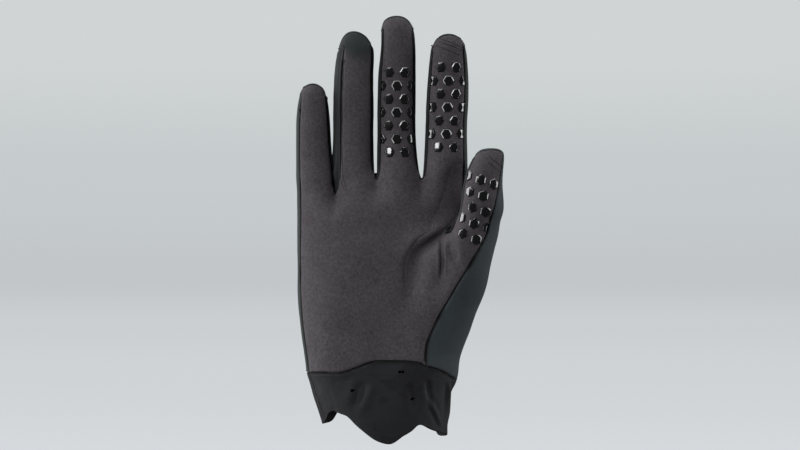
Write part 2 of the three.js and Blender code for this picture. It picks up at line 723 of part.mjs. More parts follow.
function buildThumb(root, thumbWeb) {
  const front = root.slice(lastPalm + 1, lastFront + 1);
  const outer = root.slice(startRight + 1, startBack);
  const back = root.slice(startBack, startBack + THUMB_ACROSS + 1);
  const inner = thumbWeb.right.slice(1, -1).reverse();
  let below = [...front, ...outer, ...back, ...inner];
  const base = below.map((id) => points[id].clone());
  const panelOf = (i) => {
    if (i < THUMB_ACROSS) {
      return 'palm_panel';
    }
    return i < 2 * THUMB_ACROSS + THUMB_OUTER ? 'thumb_outer_panel' : 'thumb_gusset';
  };
  const rows = 7;
  const domeHeight = 0.36 * THUMB_WIDTH / 2;
  const tubeTop = 1 - domeHeight / THUMB_LENGTH;
  const sectionAt = (up) => {
    const row = (key) => along(thumbRows, 'up', key, up);
    const half = THUMB_WIDTH * row('half');
    return {
      x: THUMB_SIDE * row('to'),
      y: -THUMB_FORWARD * row('forward'),
      halfWidth: half,
      halfDepth: half * lerp(0.98, 0.92, up),
      seam: row('seam'),
    };
  };
  for (let r = 1; r <= rows; r += 1) {
    const up = (tubeTop * r) / rows;
    const s = sectionAt(up);
    const seamAngle = sectionAngle(s.seam);
    const backAngle = radians(40);
    const innerAngle = radians(24);
    const angles = [];
    for (let i = 0; i <= THUMB_ACROSS; i += 1) {
      angles.push(lerp(-Math.PI + innerAngle, -seamAngle, i / THUMB_ACROSS));
    }
    for (let i = 1; i < THUMB_OUTER; i += 1) {
      angles.push(lerp(-seamAngle, backAngle, i / THUMB_OUTER));
    }
    for (let i = 0; i <= THUMB_ACROSS; i += 1) {
      angles.push(lerp(backAngle, Math.PI - backAngle, i / THUMB_ACROSS));
    }
    for (let i = 1; i < SIDE; i += 1) {
      angles.push(lerp(Math.PI - backAngle, Math.PI + innerAngle, i / SIDE));
    }
    const blend = smooth(up, 0, 0.3);
    const shrink = r === rows ? 0.92 : 1;
    const ring = angles.map((angle, i) => {
      const [dx, dy] = sectionPoint(angle, s.halfWidth * shrink, s.halfDepth * shrink);
      const z = lerp(base[i].z, THUMB_ROOT + THUMB_LENGTH, up);
      return point(lerp(base[i].x, s.x + dx, blend), lerp(base[i].y, s.y + dy, blend), z);
    });
    joinRings(below, ring, panelOf);
    below = ring;
  }
  const top = sectionAt(tubeTop);
  closeTip(below, THUMB_ACROSS, { x: top.x, y: top.y, z: THUMB_ROOT + THUMB_LENGTH * tubeTop },
    { halfWidth: top.halfWidth * 0.92, halfDepth: top.halfDepth * 0.92 }, domeHeight,
    (u, v) => (v === 0 ? 'palm_panel' : 'thumb_outer_panel'), THUMB_TIP_LEAN);
}

const root = buildHand();
const { below: top, thumbWeb } = buildPalmTop(root);
buildFingers(top);
buildThumb(root, thumbWeb);

// Outward direction of the skin at each point, the mean of the faces round it
const normals = points.map(() => new THREE.Vector3());
for (const { ids } of faces) {
  const [a, b, c, d] = ids.map((id) => points[id]);
  const n = c.clone().sub(a).cross(d.clone().sub(b));
  ids.forEach((id) => normals[id].add(n));
}
normals.forEach((n) => n.normalize());

// A closed solid of one cloth panel: its faces, the same faces one wall further in, and the cut edge round them
function clothPanel(name) {
  const own = faces.filter((f) => f.panel === name);
  const edgesOf = new Map();
  for (const { ids } of own) {
    ids.forEach((a, i) => {
      const b = ids[(i + 1) % 4];
      const twin = `${b},${a}`;
      if (edgesOf.has(twin)) {
        edgesOf.delete(twin);
      } else {
        edgesOf.set(`${a},${b}`, [a, b]);
      }
    });
  }
  const shared = new Set();
  const neighbours = faces.filter((f) => f.panel !== name);
  const foreign = new Set();
  for (const { ids } of neighbours) {
    ids.forEach((a, i) => foreign.add(`${a},${ids[(i + 1) % 4]}`));
  }
  const push = new Map();
  for (const [a, b] of edgesOf.values()) {
    if (!foreign.has(`${b},${a}`)) {
      continue;
    }
    shared.add(a);
    shared.add(b);
    const alongEdge = points[b].clone().sub(points[a]);
    for (const id of [a, b]) {
      const inward = normals[id].clone().cross(alongEdge).normalize();
      if (!push.has(id)) {
        push.set(id, []);
      }
      push.get(id).push(inward);
    }
  }
  const outerPoint = new Map();
  const position = (id) => {
    const p = points[id].clone();
    const directions = push.get(id);
    if (directions) {
      const sum = directions.reduce((s, d) => s.add(d), new THREE.Vector3());
      const share = sum.dot(sum) / directions.length;
      p.add(sum.multiplyScalar(SEAM_GAP / 2 / Math.max(share, 0.35)));
    }
    return p;
  };
  const vertices = [];
  const use = (id, deep) => {
    const key = `${id},${deep}`;
    if (!outerPoint.has(key)) {
      const p = position(id);
      if (deep) {
        p.addScaledVector(normals[id], -WALL);
      }
      outerPoint.set(key, vertices.length / 3);
      vertices.push(p.x, p.y, p.z);
    }
    return outerPoint.get(key);
  };
  const triangles = [];
  const quad = (a, b, c, d) => triangles.push(a, b, c, a, c, d);
  for (const { ids } of own) {
    quad(...ids.map((id) => use(id, 0)));
    quad(...[...ids].reverse().map((id) => use(id, 1)));
  }
  // both panels at a seam split a twisted edge face along the same diagonal, so they stay apart
  for (const [a, b] of edgesOf.values()) {
    if (b > a) {
      quad(use(b, 0), use(a, 0), use(a, 1), use(b, 1));
    } else {
      quad(use(a, 0), use(a, 1), use(b, 1), use(b, 0));
    }
  }
  const geometry = new THREE.BufferGeometry();
  geometry.setAttribute('position', new THREE.Float32BufferAttribute(vertices, 3));
  geometry.setIndex(triangles);
  return geometry;
}

// The glove's front as flat triangles, to find where something sits on the palm's side
const frontTriangles = [];
for (const { ids } of faces.filter((f) => f.panel === 'palm_panel')) {
  const [a, b, c, d] = ids.map((id) => points[id]);
  for (const corners of [[a, b, c], [a, c, d]]) {
    const triangle = new THREE.Triangle(...corners);
    if (triangle.getNormal(new THREE.Vector3()).y < -0.02) {
      frontTriangles.push(triangle);
    }
  }
}

// Point of the palm panel's skin behind a place in the front view, and its outward direction
function skinAt(x, z) {
  let best = null;
  for (const triangle of frontTriangles) {
    const { a, b, c } = triangle;
    const area = (b.x - a.x) * (c.z - a.z) - (c.x - a.x) * (b.z - a.z);
    const u = ((x - a.x) * (c.z - a.z) - (c.x - a.x) * (z - a.z)) / area;
    const v = ((b.x - a.x) * (z - a.z) - (x - a.x) * (b.z - a.z)) / area;
    const outside = Math.max(0, -u, -v, u + v - 1);
    const y = a.y + u * (b.y - a.y) + v * (c.y - a.y);
    const closer = best && outside < 1e-9 && best.outside < 1e-9 ? y < best.y : !best || outside < best.outside;
    if (closer) {
      best = { outside, y, triangle };
    }
  }
  return { place: new THREE.Vector3(x, best.y, z), normal: best.triangle.getNormal(new THREE.Vector3()) };
}

// Cuts a flat outline of [across, up] corners at a line: keeps what lies on the far side of limit
function clip(outline, limit, sign) {
  const kept = [];
  outline.forEach((p, i) => {
    const q = outline[(i + 1) % outline.length];
    const inP = sign * (p[0] - limit(p[1])) >= 0;
    const inQ = sign * (q[0] - limit(q[1])) >= 0;
    if (inP) {
      kept.push(p);
    }
    if (inP !== inQ) {
      const dp = p[0] - limit(p[1]);
      const dq = q[0] - limit(q[1]);
      const t = dp / (dp - dq);
      kept.push([lerp(p[0], q[0], t), lerp(p[1], q[1], t)]);
    }
  });
  return kept;
}

function outlineArea(outline) {
  return outline.reduce((sum, p, i) => {
    const q = outline[(i + 1) % outline.length];
    return sum + (p[0] * q[1] - q[0] * p[1]) / 2;
  }, 0);
}

// One hexagon of silicone on the skin. wrap turns [distance round the finger, height] into a front-view place.
function gripDot(name, middle, turn, wrap, limits) {
  let outline = [];
  for (let i = 0; i < 6; i += 1) {
    const angle = radians(60 * i + turn);
    outline.push([middle[0] + (DOT_WIDTH / 2) * Math.cos(angle), middle[1] + (DOT_WIDTH / 2) * Math.sin(angle)]);
  }
  const whole = outlineArea(outline);
  outline = clip(clip(outline, limits.left, 1), limits.right, -1);
  if (outline.length < 3 || outlineArea(outline) < 0.25 * whole) {
    return null;
  }
  const centre = [0, 1].map((k) => outline.reduce((sum, p) => sum + p[k], 0) / outline.length);
  const under = skinAt(...wrap(centre));
  const normal = outline.reduce((n, p) => n.add(skinAt(...wrap(p)).normal), under.normal.clone()).normalize();
  const foot = outline.map((p) => skinAt(...wrap(p)).place);
  let lift = DOT_CLEARANCE;
  foot.forEach((p, i) => {
    const q = foot[(i + 1) % foot.length];
    for (const [u, v] of [[0.5, 0], [0.25, 0.25], [0.5, 0.5], [0.25, 0.75], [0.75, 0.25], [0.4, 0.3]]) {
      const on = under.place.clone().multiplyScalar(Math.max(0, 1 - u - v));
      on.addScaledVector(p, u).addScaledVector(q, v);
      const skin = skinAt(on.x, on.z).place;
      lift = Math.max(lift, DOT_CLEARANCE + (on.y - skin.y) * -normal.y);
    }
  });
  const vertices = [];
  const add = (p) => {
    vertices.push(p.x, p.y, p.z);
    return vertices.length / 3 - 1;
  };
  const n = foot.length;
  const low = foot.map((p) => add(p.clone().addScaledVector(normal, lift)));
  const high = foot.map((p) => {
    const inward = p.clone().lerp(under.place, 1 - DOT_TOP);
    return add(inward.addScaledVector(normal, lift + DOT_HEIGHT));
  });
  const lowMiddle = add(under.place.clone().addScaledVector(normal, lift));
  const highMiddle = add(under.place.clone().addScaledVector(normal, lift + DOT_HEIGHT));
  const triangles = [];
  for (let i = 0; i < n; i += 1) {
    const j = (i + 1) % n;
    triangles.push(low[j], low[i], lowMiddle, high[i], high[j], highMiddle);
    triangles.push(low[i], low[j], high[j], low[i], high[j], high[i]);
  }
  const geometry = new THREE.BufferGeometry();
  geometry.setAttribute('position', new THREE.Float32BufferAttribute(vertices, 3));
  geometry.setIndex(triangles);
  const mesh = new THREE.Mesh(geometry, new THREE.MeshStandardMaterial({
    color: 0x08080a, roughness: 0.22, metalness: 0,
  }));
  mesh.name = name;
  return mesh;
}

// Hexagons down the front of a finger, alternate rows moved by half a step
function fingerGrip(name, start) {
  const f = fingers.find((one) => one.name === name);
  const shares = [f.seamLeft, f.seamRight].map((a) => sectionPoint(radians(a), 1, 1)[0]);
  const sizeAt = (z) => fingerSection(f, clamp((z - f.foot) / f.length, 0, 1));
  const reach = (z, share) => {
    const half = sizeAt(z).halfWidth;
    return half * Math.asin(share) - SEAM_GAP;
  };
  const wrap = ([across, z]) => {
    const s = sizeAt(z);
    return [s.x + s.halfWidth * Math.sin(clamp(across / s.halfWidth, -1.5, 1.5)), z];
  };
  const limits = { left: (z) => -reach(z, shares[0]), right: (z) => reach(z, shares[1]) };
  const rows = Math.round(GRIP_LENGTH / DOT_ROW) + 1;
  const dots = [];
  for (let row = 0; row < rows; row += 1) {
    const z = f.foot + f.length - start - row * DOT_ROW;
    const places = row % 2 === 0 ? [-0.5, 0.5] : [-1, 0, 1];
    for (const place of places) {
      const label = `grip_${name}_${String(dots.length + 1).padStart(2, '0')}`;
      const dot = gripDot(label, [place * DOT_ACROSS, z], 0, wrap, limits);
      if (dot) {
        dots.push(dot);
      }
    }
  }
  return dots;
}

function thumbGrip() {
  const sizeAt = (z) => {
    const up = clamp((z - THUMB_ROOT) / THUMB_LENGTH, 0, 1);
    const row = (key) => along(thumbRows, 'up', key, up);
    return { x: THUMB_SIDE * row('to'), half: THUMB_WIDTH * row('half'), seam: row('seam') };
  };
  const shift = (z) => sizeAt(THUMB_ROOT + THUMB_GRIP).x - sizeAt(z).x;
  const wrap = ([across, z]) => {
    const s = sizeAt(z);
    return [s.x + s.half * Math.sin(clamp((across + shift(z)) / s.half, -1.5, 1.5)), z];
  };
  const limits = {
    left: (z) => -sizeAt(z).half * (z < THUMB_ROOT + 0.2 * THUMB_LENGTH ? 1.6 : 1.02) - shift(z),
    right: (z) => sizeAt(z).half * Math.asin(sizeAt(z).seam) - SEAM_GAP - shift(z),
  };
  const turn = radians(THUMB_GRIP_TURN);
  const origin = [-0.28 * THUMB_WIDTH, THUMB_ROOT + THUMB_GRIP];
  const dots = [];
  for (const { row, first, count } of thumbGripRows) {
    for (let i = 0; i < count; i += 1) {
      const step = (first + i) * DOT_ACROSS * 0.97;
      const side = row * DOT_ROW;
      const middle = [
        origin[0] + step * Math.cos(turn) + side * Math.sin(turn),
        origin[1] - step * Math.sin(turn) + side * Math.cos(turn),
      ];
      const label = `grip_thumb_${String(dots.length + 1).padStart(2, '0')}`;
      const dot = gripDot(label, middle, THUMB_GRIP_TURN, wrap, limits);
      if (dot) {
        dots.push(dot);
      }
    }
  }
  return dots;
}

const cloths = {
  palm_panel: { color: 0x3c393d, roughness: 0.9 },
  back_panel: { color: 0x2b302f, roughness: 0.85 },
  thumb_outer_panel: { color: 0x2d3336, roughness: 0.8 },
  thumb_gusset: { color: 0x262a2b, roughness: 0.85 },
  fourchette_pinky_ring: { color: 0x262a2b, roughness: 0.85 },
  fourchette_ring_middle: { color: 0x262a2b, roughness: 0.85 },
  fourchette_middle_index: { color: 0x262a2b, roughness: 0.85 },
  cuff_front: { color: 0x242629, roughness: 0.85 },
  cuff_back: { color: 0x242629, roughness: 0.85 },
};

const group = new THREE.Group();
for (const [name, look] of Object.entries(cloths)) {
  const material = new THREE.MeshStandardMaterial({ ...look, metalness: 0 });
  const mesh = new THREE.Mesh(clothPanel(name), material);
  mesh.name = name;
  group.add(mesh);
}
group.add(...fingerGrip('middle', MIDDLE_GRIP), ...fingerGrip('index', INDEX_GRIP), ...thumbGrip());

export default group;
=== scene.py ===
# Looks of a right-hand cycling glove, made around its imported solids: metres, +Z up to the fingers, palm
# toward -Y, thumb toward +X. The cloth pieces are one sewn skin, smoothed, creased, and cut apart again at
# its seams.
import math
import random
import bmesh
import bpy
from mathutils import Matrix, Vector, noise
from mathutils.bvhtree import BVHTree
from mathutils.kdtree import KDTree


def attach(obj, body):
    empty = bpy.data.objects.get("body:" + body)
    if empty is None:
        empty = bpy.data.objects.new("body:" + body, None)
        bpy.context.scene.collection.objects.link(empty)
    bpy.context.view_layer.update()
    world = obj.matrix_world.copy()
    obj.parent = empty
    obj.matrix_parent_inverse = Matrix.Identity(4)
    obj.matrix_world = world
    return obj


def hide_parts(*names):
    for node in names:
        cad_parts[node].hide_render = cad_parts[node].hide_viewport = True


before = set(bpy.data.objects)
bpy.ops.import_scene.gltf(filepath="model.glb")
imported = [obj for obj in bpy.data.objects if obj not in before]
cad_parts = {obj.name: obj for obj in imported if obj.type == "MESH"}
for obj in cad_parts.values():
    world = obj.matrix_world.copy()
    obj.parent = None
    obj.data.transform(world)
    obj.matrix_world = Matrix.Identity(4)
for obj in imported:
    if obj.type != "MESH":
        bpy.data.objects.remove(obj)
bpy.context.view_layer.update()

MM = 0.001
WALL = 1.2 * MM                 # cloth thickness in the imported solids
CLOTH = 1.05 * MM               # cloth thickness here
WELD = 0.002 * MM
SEAM_WELD = 0.58 * MM           # more than the gap left at a seam, less than the gap between two fingers
FINENESS = 3                    # smoothing levels of the skin
TRIANGLES_A_FACE = 4            # two on each side of the wall
MOST_TRIANGLES = 185000         # of one panel
PLUMP = 0.2 * MM                # given back to what the smoothing takes off
LEAST_UPRIGHT = 0.3             # least share of an edge across the wall that runs outward
PALM_TURN = 0.3                 # cloth whose normal has a smaller y than this counts as the palm's front
FOLD_TURN = 0.2                 # the same for what a fold takes in
BELL_REACH = 2.5                # widths past which a bell counts as nothing

# Slow and quick unevenness of worn cloth: from one rise to the next, and how high
SLOW_ACROSS = 17 * MM
SLOW_HIGH = 0.3 * MM
QUICK_ACROSS = 6 * MM
QUICK_HIGH = 0.08 * MM
QUICK_SHIFT = Vector((7, 3, 1))

# Every cloth node, with the material slot that it is cut from
PANELS = {
    "palm_panel": "suede",
    "back_panel": "stretch_back",
    "thumb_outer_panel": "thumb_fabric",
    "thumb_gusset": "fourchette_fabric",
    "fourchette_pinky_ring": "fourchette_fabric",
    "fourchette_ring_middle": "fourchette_fabric",
    "fourchette_middle_index": "fourchette_fabric",
    "cuff_front": "cuff_fabric",
    "cuff_back": "cuff_fabric",
}
NUMBER = {name: i for i, name in enumerate(PANELS)}

# Creases and folds of the front, in millimetres in the front view. A path runs through its (x, z) places.
# depth: pressed in, or standing out if below 0. steep: share of the width on the side toward +x, so under 1 the
# crease has a sharp right flank. lift: how far the cloth rises beside it. shade: how dark the painted shade in its
# depth is.
CREASES = [
    {"depth": 4.2, "width": 3.4, "steep": 0.35, "lift": 0.05, "shade": 0.75,
     "path": [(33.5, 74.5), (27.5, 71.6), (22.4, 68.6), (19.2, 64.0), (17.2, 58.0), (16.2, 51.5), (15.6, 45.0),
              (14.8, 36.5)]},
    {"depth": 3.0, "width": 1.2, "steep": 0.5, "lift": 0.5, "shade": 0.4,
     "path": [(35.2, 76.5), (33.0, 71.4), (32.3, 66.4), (32.8, 62.1), (32.7, 56.5), (31.8, 47.5)]},
    {"depth": 1.1, "width": 1.9, "steep": 1.0, "lift": 0.3,
     "path": [(36.4, 71.6), (37.8, 65.0), (40.2, 57.0)]},
]
CUFF_FOLDS = [
    {"depth": -1.7, "width": 0.9, "steep": 1.0, "lift": -0.3,
     "path": [(36.2, -3.6), (35.4, -14.0), (34.8, -24.0), (33.8, -34.0)]},
    {"depth": -0.9, "width": 1.0, "steep": 1.0, "lift": -0.3,
     "path": [(25.9, -15.5), (29.2, -23.0), (33.1, -32.5)]},
    {"depth": 1.0, "width": 1.3, "steep": 0.7, "lift": 0.2,
     "path": [(24.4, -3.6), (25.0, -10.0), (26.8, -17.5)]},
    {"depth": 0.7, "width": 2.6, "steep": 0.8, "lift": 0.3,
     "path": [(14.5, -5.0), (17.5, -14.0), (16.5, -24.0)]},
    {"depth": 0.6, "width": 2.8, "steep": 0.8, "lift": 0.3,
     "path": [(-9.0, -4.0), (-12.5, -14.0), (-17.5, -22.0)]},
]
FADE_IN = (-0.02, 0.22)         # shares of a fold's length over which it begins
FADE_OUT = (1.0, 0.55)          # and ends
FOLD_REACH = 4                  # widths past which a fold does nothing
SHADE_WIDTH = 0.6               # of a fold's dark line, as a share of the fold's width

# The hollow of the palm beside the thumb. shade: how dark its painted shade is. thumb: the y where the cloth is not
# sunk, and where it is in full
THUMB_HOLLOW = {"path": [(43.6, 106.0), (41.0, 95.0), (38.0, 86.0), (34.0, 78.5)], "reach": 5.0, "depth": 5.0,
                "shade": 0.85, "thumb": (-20.0, -15.0)}
# How far the middle of each web between two fingers stands above its ends, and how wide the rise is
WEB_RISES = {
    "fourchette_pinky_ring": {"lift": 12.0, "reach": 6.0},
    "fourchette_ring_middle": {"lift": 7.5, "reach": 5.0},
    "fourchette_middle_index": {"lift": 3.6, "reach": 5.0},
}
WEB_NEAR = 14 * MM              # round a web's lowest place, where its front and back seams are looked for
WEB_HIGH = 3 * MM               # how far above that place
FRONT_START = 0.5 * MM          # behind the front seam, where the rise begins
FRONT_FULL = 5 * MM             # and where it is full
BACK_SLOPE = 3 * MM             # in front of the back seam, where it falls off

# Places of the front where the skin of the palm is evened out: in millimetres, and how often
RELAXED = [
    {"at": (-21.0, 104.0), "reach": 6.5, "times": 14},
]
# Places where the smoothed skin is pushed sideways and up, in millimetres in the front view. front: only the front
# half; facing: only cloth that faces toward +x (1) or -x (-1)
PUSHES = [
    {"at": (-38.5, 155.0), "reach": (9.0, 9.0), "by": (0.0, 1.5)},
    {"at": (-16.0, 184.0), "reach": (9.0, 8.0), "by": (0.0, 1.2)},
    {"at": (7.5, 194.0), "reach": (9.0, 7.0), "by": (-0.4, 1.0)},
    {"at": (0.5, 190.0), "reach": (5.0, 7.0), "by": (-1.0, 0.0)},
    {"at": (35.5, 185.0), "reach": (9.0, 7.0), "by": (0.0, 1.0)},
    {"at": (-5.5, 176.0), "reach": (5.0, 11.0), "by": (1.6, 0.0)},
    {"at": (-23.0, 104.0), "reach": (3.6, 9.0), "by": (-1.6, 0.0)},
    {"at": (-27.5, 107.0), "reach": (4.5, 9.0), "by": (-2.3, 0.0), "facing": -1},
    {"at": (-30.0, 107.0), "reach": (4.0, 9.0), "by": (0.9, 0.0), "facing": 1},
    {"at": (-26.5, -24.0), "reach": (3.2, 4.0), "by": (0.0, 2.2), "front": True},
    {"at": (-19.5, -25.0), "reach": (4.0, 4.0), "by": (0.0, 1.2), "front": True},
    {"at": (20.5, -30.0), "reach": (4.5, 5.0), "by": (0.0, 2.4), "front": True},
    {"at": (11.0, -34.0), "reach": (4.0, 5.0), "by": (0.0, 0.8), "front": True},
]


def smoothstep(low, high, value):
    """0 below low, 1 above high, and a smooth rise between."""
    t = min(max((value - low) / (high - low), 0.0), 1.0)
    return t * t * (3 - 2 * t)


def bell(distance, width):
    """1 at no distance, falling away over the width."""
    return math.exp(-(distance / width) ** 2)


def new_object(name, bm, smooth=True):
    """Puts a bmesh into the scene as an object that sits at the origin."""
    mesh = bpy.data.meshes.new(name)
    for face in bm.faces:
        face.smooth = smooth
    bm.to_mesh(mesh)
    bm.free()
    obj = bpy.data.objects.new(name, mesh)
    bpy.context.scene.collection.objects.link(obj)
    return obj


def applied(obj):
    """A new bmesh with the object's modifiers applied; the object is taken away."""
    bpy.context.view_layer.update()
    shaped = obj.evaluated_get(bpy.context.evaluated_depsgraph_get())
    bm = bmesh.new()
    bm.from_mesh(shaped.to_mesh())
    shaped.to_mesh_clear()
    bpy.data.objects.remove(obj)
    return bm


def islands(bm):
    """The faces in groups that hang together."""
    left = set(bm.faces)
    groups = []
    while left:
        group = [left.pop()]
        for face in group:
            near = {other for edge in face.edges for other in edge.link_faces} & left
            left -= near
            group.extend(near)
        groups.append(group)
    return groups


def drop_faces(bm, faces):
    bmesh.ops.delete(bm, geom=list(faces), context="FACES")
    bmesh.ops.delete(bm, geom=[v for v in bm.verts if not v.link_faces], context="VERTS")


def stands_up(edge):
    """True where an edge runs along the surface's direction outward, as the edges across the cloth's wall do."""
    start, end = edge.verts
    return abs((end.co - start.co).normalized().dot(start.normal)) > LEAST_UPRIGHT


def sewn_skin():
    """The outer faces of all cloth nodes, sewn to one skin of four-sided faces; the material index is the panel."""
    bm = bmesh.new()
    for name, number in NUMBER.items():
        before = len(bm.faces)
        bm.from_mesh(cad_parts[name].data)
        bm.faces.ensure_lookup_table()
        for face in bm.faces[before:]:
            face.material_index = number
    bmesh.ops.remove_doubles(bm, verts=bm.verts[:], dist=WELD)
    bm.normal_update()
    across_the_wall = [e for e in bm.edges if abs(e.calc_length() - WALL) < 2 * WELD and stands_up(e)]
    drop_faces(bm, {face for edge in across_the_wall for face in edge.link_faces})
    bmesh.ops.remove_doubles(bm, verts=[v for v in bm.verts if v.is_boundary], dist=SEAM_WELD)
    groups = islands(bm)
    outer = max(groups, key=lambda group: max(v.co.z for face in group for v in face.verts))
    drop_faces(bm, set(bm.faces) - set(outer))
    bmesh.ops.join_triangles(bm, faces=bm.faces[:], angle_face_threshold=math.pi, angle_shape_threshold=math.pi,
                             topology_influence=2.0)
    return bm


def smoothed(bm, levels):
    """The skin with each face divided and rounded."""
    obj = new_object("skin", bm)
    rounding = obj.modifiers.new("rounding", "SUBSURF")
    rounding.levels = levels
    rounding.render_levels = levels
    return applied(obj)


def is_seam(edge):
    return len(edge.link_faces) == 2 and edge.link_faces[0].material_index != edge.link_faces[1].material_index


def seam_edges(bm):
    return [edge for edge in bm.edges if is_seam(edge)]


def is_corner(vert):
    """True where three panels or more meet."""
    return len({face.material_index for face in vert.link_faces}) > 2


def lies_in(vert, panel):
    """True where all the cloth round a vertex is of one panel."""
    return all(face.material_index == panel for face in vert.link_faces)


def touches(vert, panel):
    return any(face.material_index == panel for face in vert.link_faces)


def distance_to_segment(p, a, b):
    along = b - a
    t = min(max((p - a).dot(along) / along.length_squared, 0.0), 1.0)
    return (p - a - along * t).length


class SeamMap:
    """Says how far a place is from the nearest seam, and which two panels meet there."""

    def __init__(self, bm):
        self.edges = [(e.verts[0].co.copy(), e.verts[1].co.copy(),
                       tuple(sorted(f.material_index for f in e.link_faces))) for e in seam_edges(bm)]
        self.tree = KDTree(len(self.edges))
        for i, (a, b, _) in enumerate(self.edges):
            self.tree.insert((a + b) / 2, i)
        self.tree.balance()

    def nearest(self, place):
        best = None
        for _, i, _ in self.tree.find_n(place, 3):
            a, b, pair = self.edges[i]
            distance = distance_to_segment(place, a, b)
            if best is None or distance < best[0]:
                best = (distance, pair)
        return best


# How deep and wide the groove of a seam is, how far the cloth rolls up beside it, and how far its dark line reaches;
# at the ring finger's valley seam that dark reaches wide as painted shade
GROOVES = {
    "plain": {"deep": 0.5 * MM, "wide": 0.8 * MM, "roll": 0.1 * MM, "shade": 1.2 * MM},
    "wrist": {"deep": 0.6 * MM, "wide": 0.7 * MM, "roll": 0.05 * MM, "shade": 1.3 * MM},
    "thumb": {"deep": 0.4 * MM, "wide": 0.7 * MM, "roll": 0.06 * MM, "shade": 0.9 * MM},
    # the wide dark beside this seam is painted shade
    "valley": {"deep": 1.3 * MM, "wide": 1.7 * MM, "roll": 0.1 * MM, "shade": 5.0 * MM},
    "cuff_side": {"deep": 0.12 * MM, "wide": 0.6 * MM, "roll": 0.0, "shade": 0.5 * MM},
}
PALM = NUMBER["palm_panel"]
RING_SIDE = NUMBER["fourchette_pinky_ring"]
WRIST_PANELS = {NUMBER["cuff_front"], NUMBER["cuff_back"]}
PUCKER = 3.2 * MM               # from one gather of a sewn seam to the next
GATHER = 0.7                    # how much a gather adds to the roll beside a seam
ROLL_PLACE = 1.9                # how far off the seam the roll lies, in widths of its groove
GROOVE_REACH = 5                # widths past which a groove does nothing
TIP_REACH = 9 * MM              # below each fingertip, where the seams get shallow
TIP_SHARE = 0.15                # what is left of their depth at the very tip
CORNER_REACH = 4 * MM           # round each place where three panels meet, where they do too
CORNER_TIMES = 10               # how often the skin is evened out there
SEAM_HALF = 0.07 * MM           # half the slit between two panels
TURN_IN = 0.3 * MM              # how far a cut edge is turned in at a seam


def groove_of(vert, pair):
    if WRIST_PANELS == set(pair):
        return GROOVES["cuff_side"]
    if len(WRIST_PANELS & set(pair)) == 1:
        return GROOVES["wrist"]
    if pair == tuple(sorted((PALM, NUMBER["thumb_outer_panel"]))):
        return GROOVES["thumb"]
    if vert.normal.x < 0 and vert.normal.y < FOLD_TURN and lies_in(vert, RING_SIDE):
        return GROOVES["valley"]
    return GROOVES["plain"]


class Shallows:
    """Says how deep a seam is at a place: little at the very fingertips and where three panels meet."""

    def __init__(self, bm):
        corners = [vert.co.copy() for vert in bm.verts if is_corner(vert)]
        self.corners = KDTree(len(corners))
        for i, corner in enumerate(corners):
            self.corners.insert(corner, i)
        self.corners.balance()

    def share(self, place):
        off_tip = min(smoothstep(0, TIP_REACH, (tip - place).length) for tip in FINGERTIPS.values())
        at_tip = off_tip * (1 - TIP_SHARE) + TIP_SHARE
        return at_tip * smoothstep(0, CORNER_REACH, self.corners.find(place)[2])


def sew_grooves(bm):
    """Pulls the cloth in along each seam, lets it roll and gather beside it, and marks how near the seam is."""
    seams = SeamMap(bm)
    near_seam = bm.verts.layers.float.new("near_seam")
    bm.normal_update()
    moves = []
    for vert in bm.verts:
        distance, pair = seams.nearest(vert.co)
        groove = groove_of(vert, pair)
        # nearness to the seam: a dark seam line, and beside the valley seam a wide painted shade
        vert[near_seam] = max(1 - distance / groove["shade"], 0.0)
        if distance > GROOVE_REACH * groove["wide"]:
            continue
        gather = noise.noise(vert.co / PUCKER) * GATHER + 1.0
        shift = -groove["deep"] * bell(distance, groove["wide"])
        shift += groove["roll"] * gather * bell(distance - ROLL_PLACE * groove["wide"], groove["wide"])
        moves.append((vert, vert.normal * shift * SHALLOWS.share(vert.co)))
    for vert, move in moves:
        vert.co += move


def push(bm):
    """Pushes the skin a little here and there, where the smoothing took too much off or a seam runs askew."""
    for place in PUSHES:
        x, z = (value * MM for value in place["at"])
        wide, high = (value * MM for value in place["reach"])
        right, up = (value * MM for value in place["by"])
        for vert in bm.verts:
            off = math.hypot((vert.co.x - x) / wide, (vert.co.z - z) / high)
            if off > BELL_REACH or (place.get("front") and vert.co.y > 0):
                continue
            share = smoothstep(0.0, 0.6, vert.normal.x * place["facing"]) if "facing" in place else 1
            vert.co += Vector((right, 0, up)) * bell(off, 1) * share


def even_out(bm, verts, times):
    for _ in range(times):
        bmesh.ops.smooth_vert(bm, verts=verts, factor=0.5, use_axis_x=True, use_axis_y=True, use_axis_z=True)


def relax(bm):
    """Evens out small pinches where three panels meet and in the palm beside the fingers."""
    even_out(bm, [v for v in bm.verts if SHALLOWS.corners.find(v.co)[2] < CORNER_REACH], CORNER_TIMES)
    for place in RELAXED:
        x, z = (value * MM for value in place["at"])
        near = [v for v in bm.verts if v.normal.y < PALM_TURN
                and math.hypot(v.co.x - x, v.co.z - z) < place["reach"] * MM and lies_in(v, PALM)]
        even_out(bm, near, place["times"])


def web_place(bm, name):
    """The lowest place of the strip between two fingers: the bottom of the crotch."""
    return min((v.co for v in bm.verts if touches(v, NUMBER[name])), key=lambda co: co.z).copy()


def raise_webs(bm):
    """Lifts the middle of each web between its front and back seam, as the cloth bunches between two fingers."""
    for name, rise in WEB_RISES.items():
        bottom = WEBS[name]
        near = [v.co.y for v in bm.verts if (v.co - bottom).length < WEB_NEAR
                and v.co.z < bottom.z + WEB_HIGH and touches(v, NUMBER[name])]
        front, back = min(near), max(near)
        for vert in bm.verts:
            off = math.hypot(vert.co.x - bottom.x, vert.co.z - bottom.z)
            if off > BELL_REACH * rise["reach"] * MM:
                continue
            inside = smoothstep(front + FRONT_START, front + FRONT_FULL, vert.co.y)
            inside *= smoothstep(back, back - BACK_SLOPE, vert.co.y)
            vert.co.z += rise["lift"] * MM * bell(off, rise["reach"] * MM) * inside


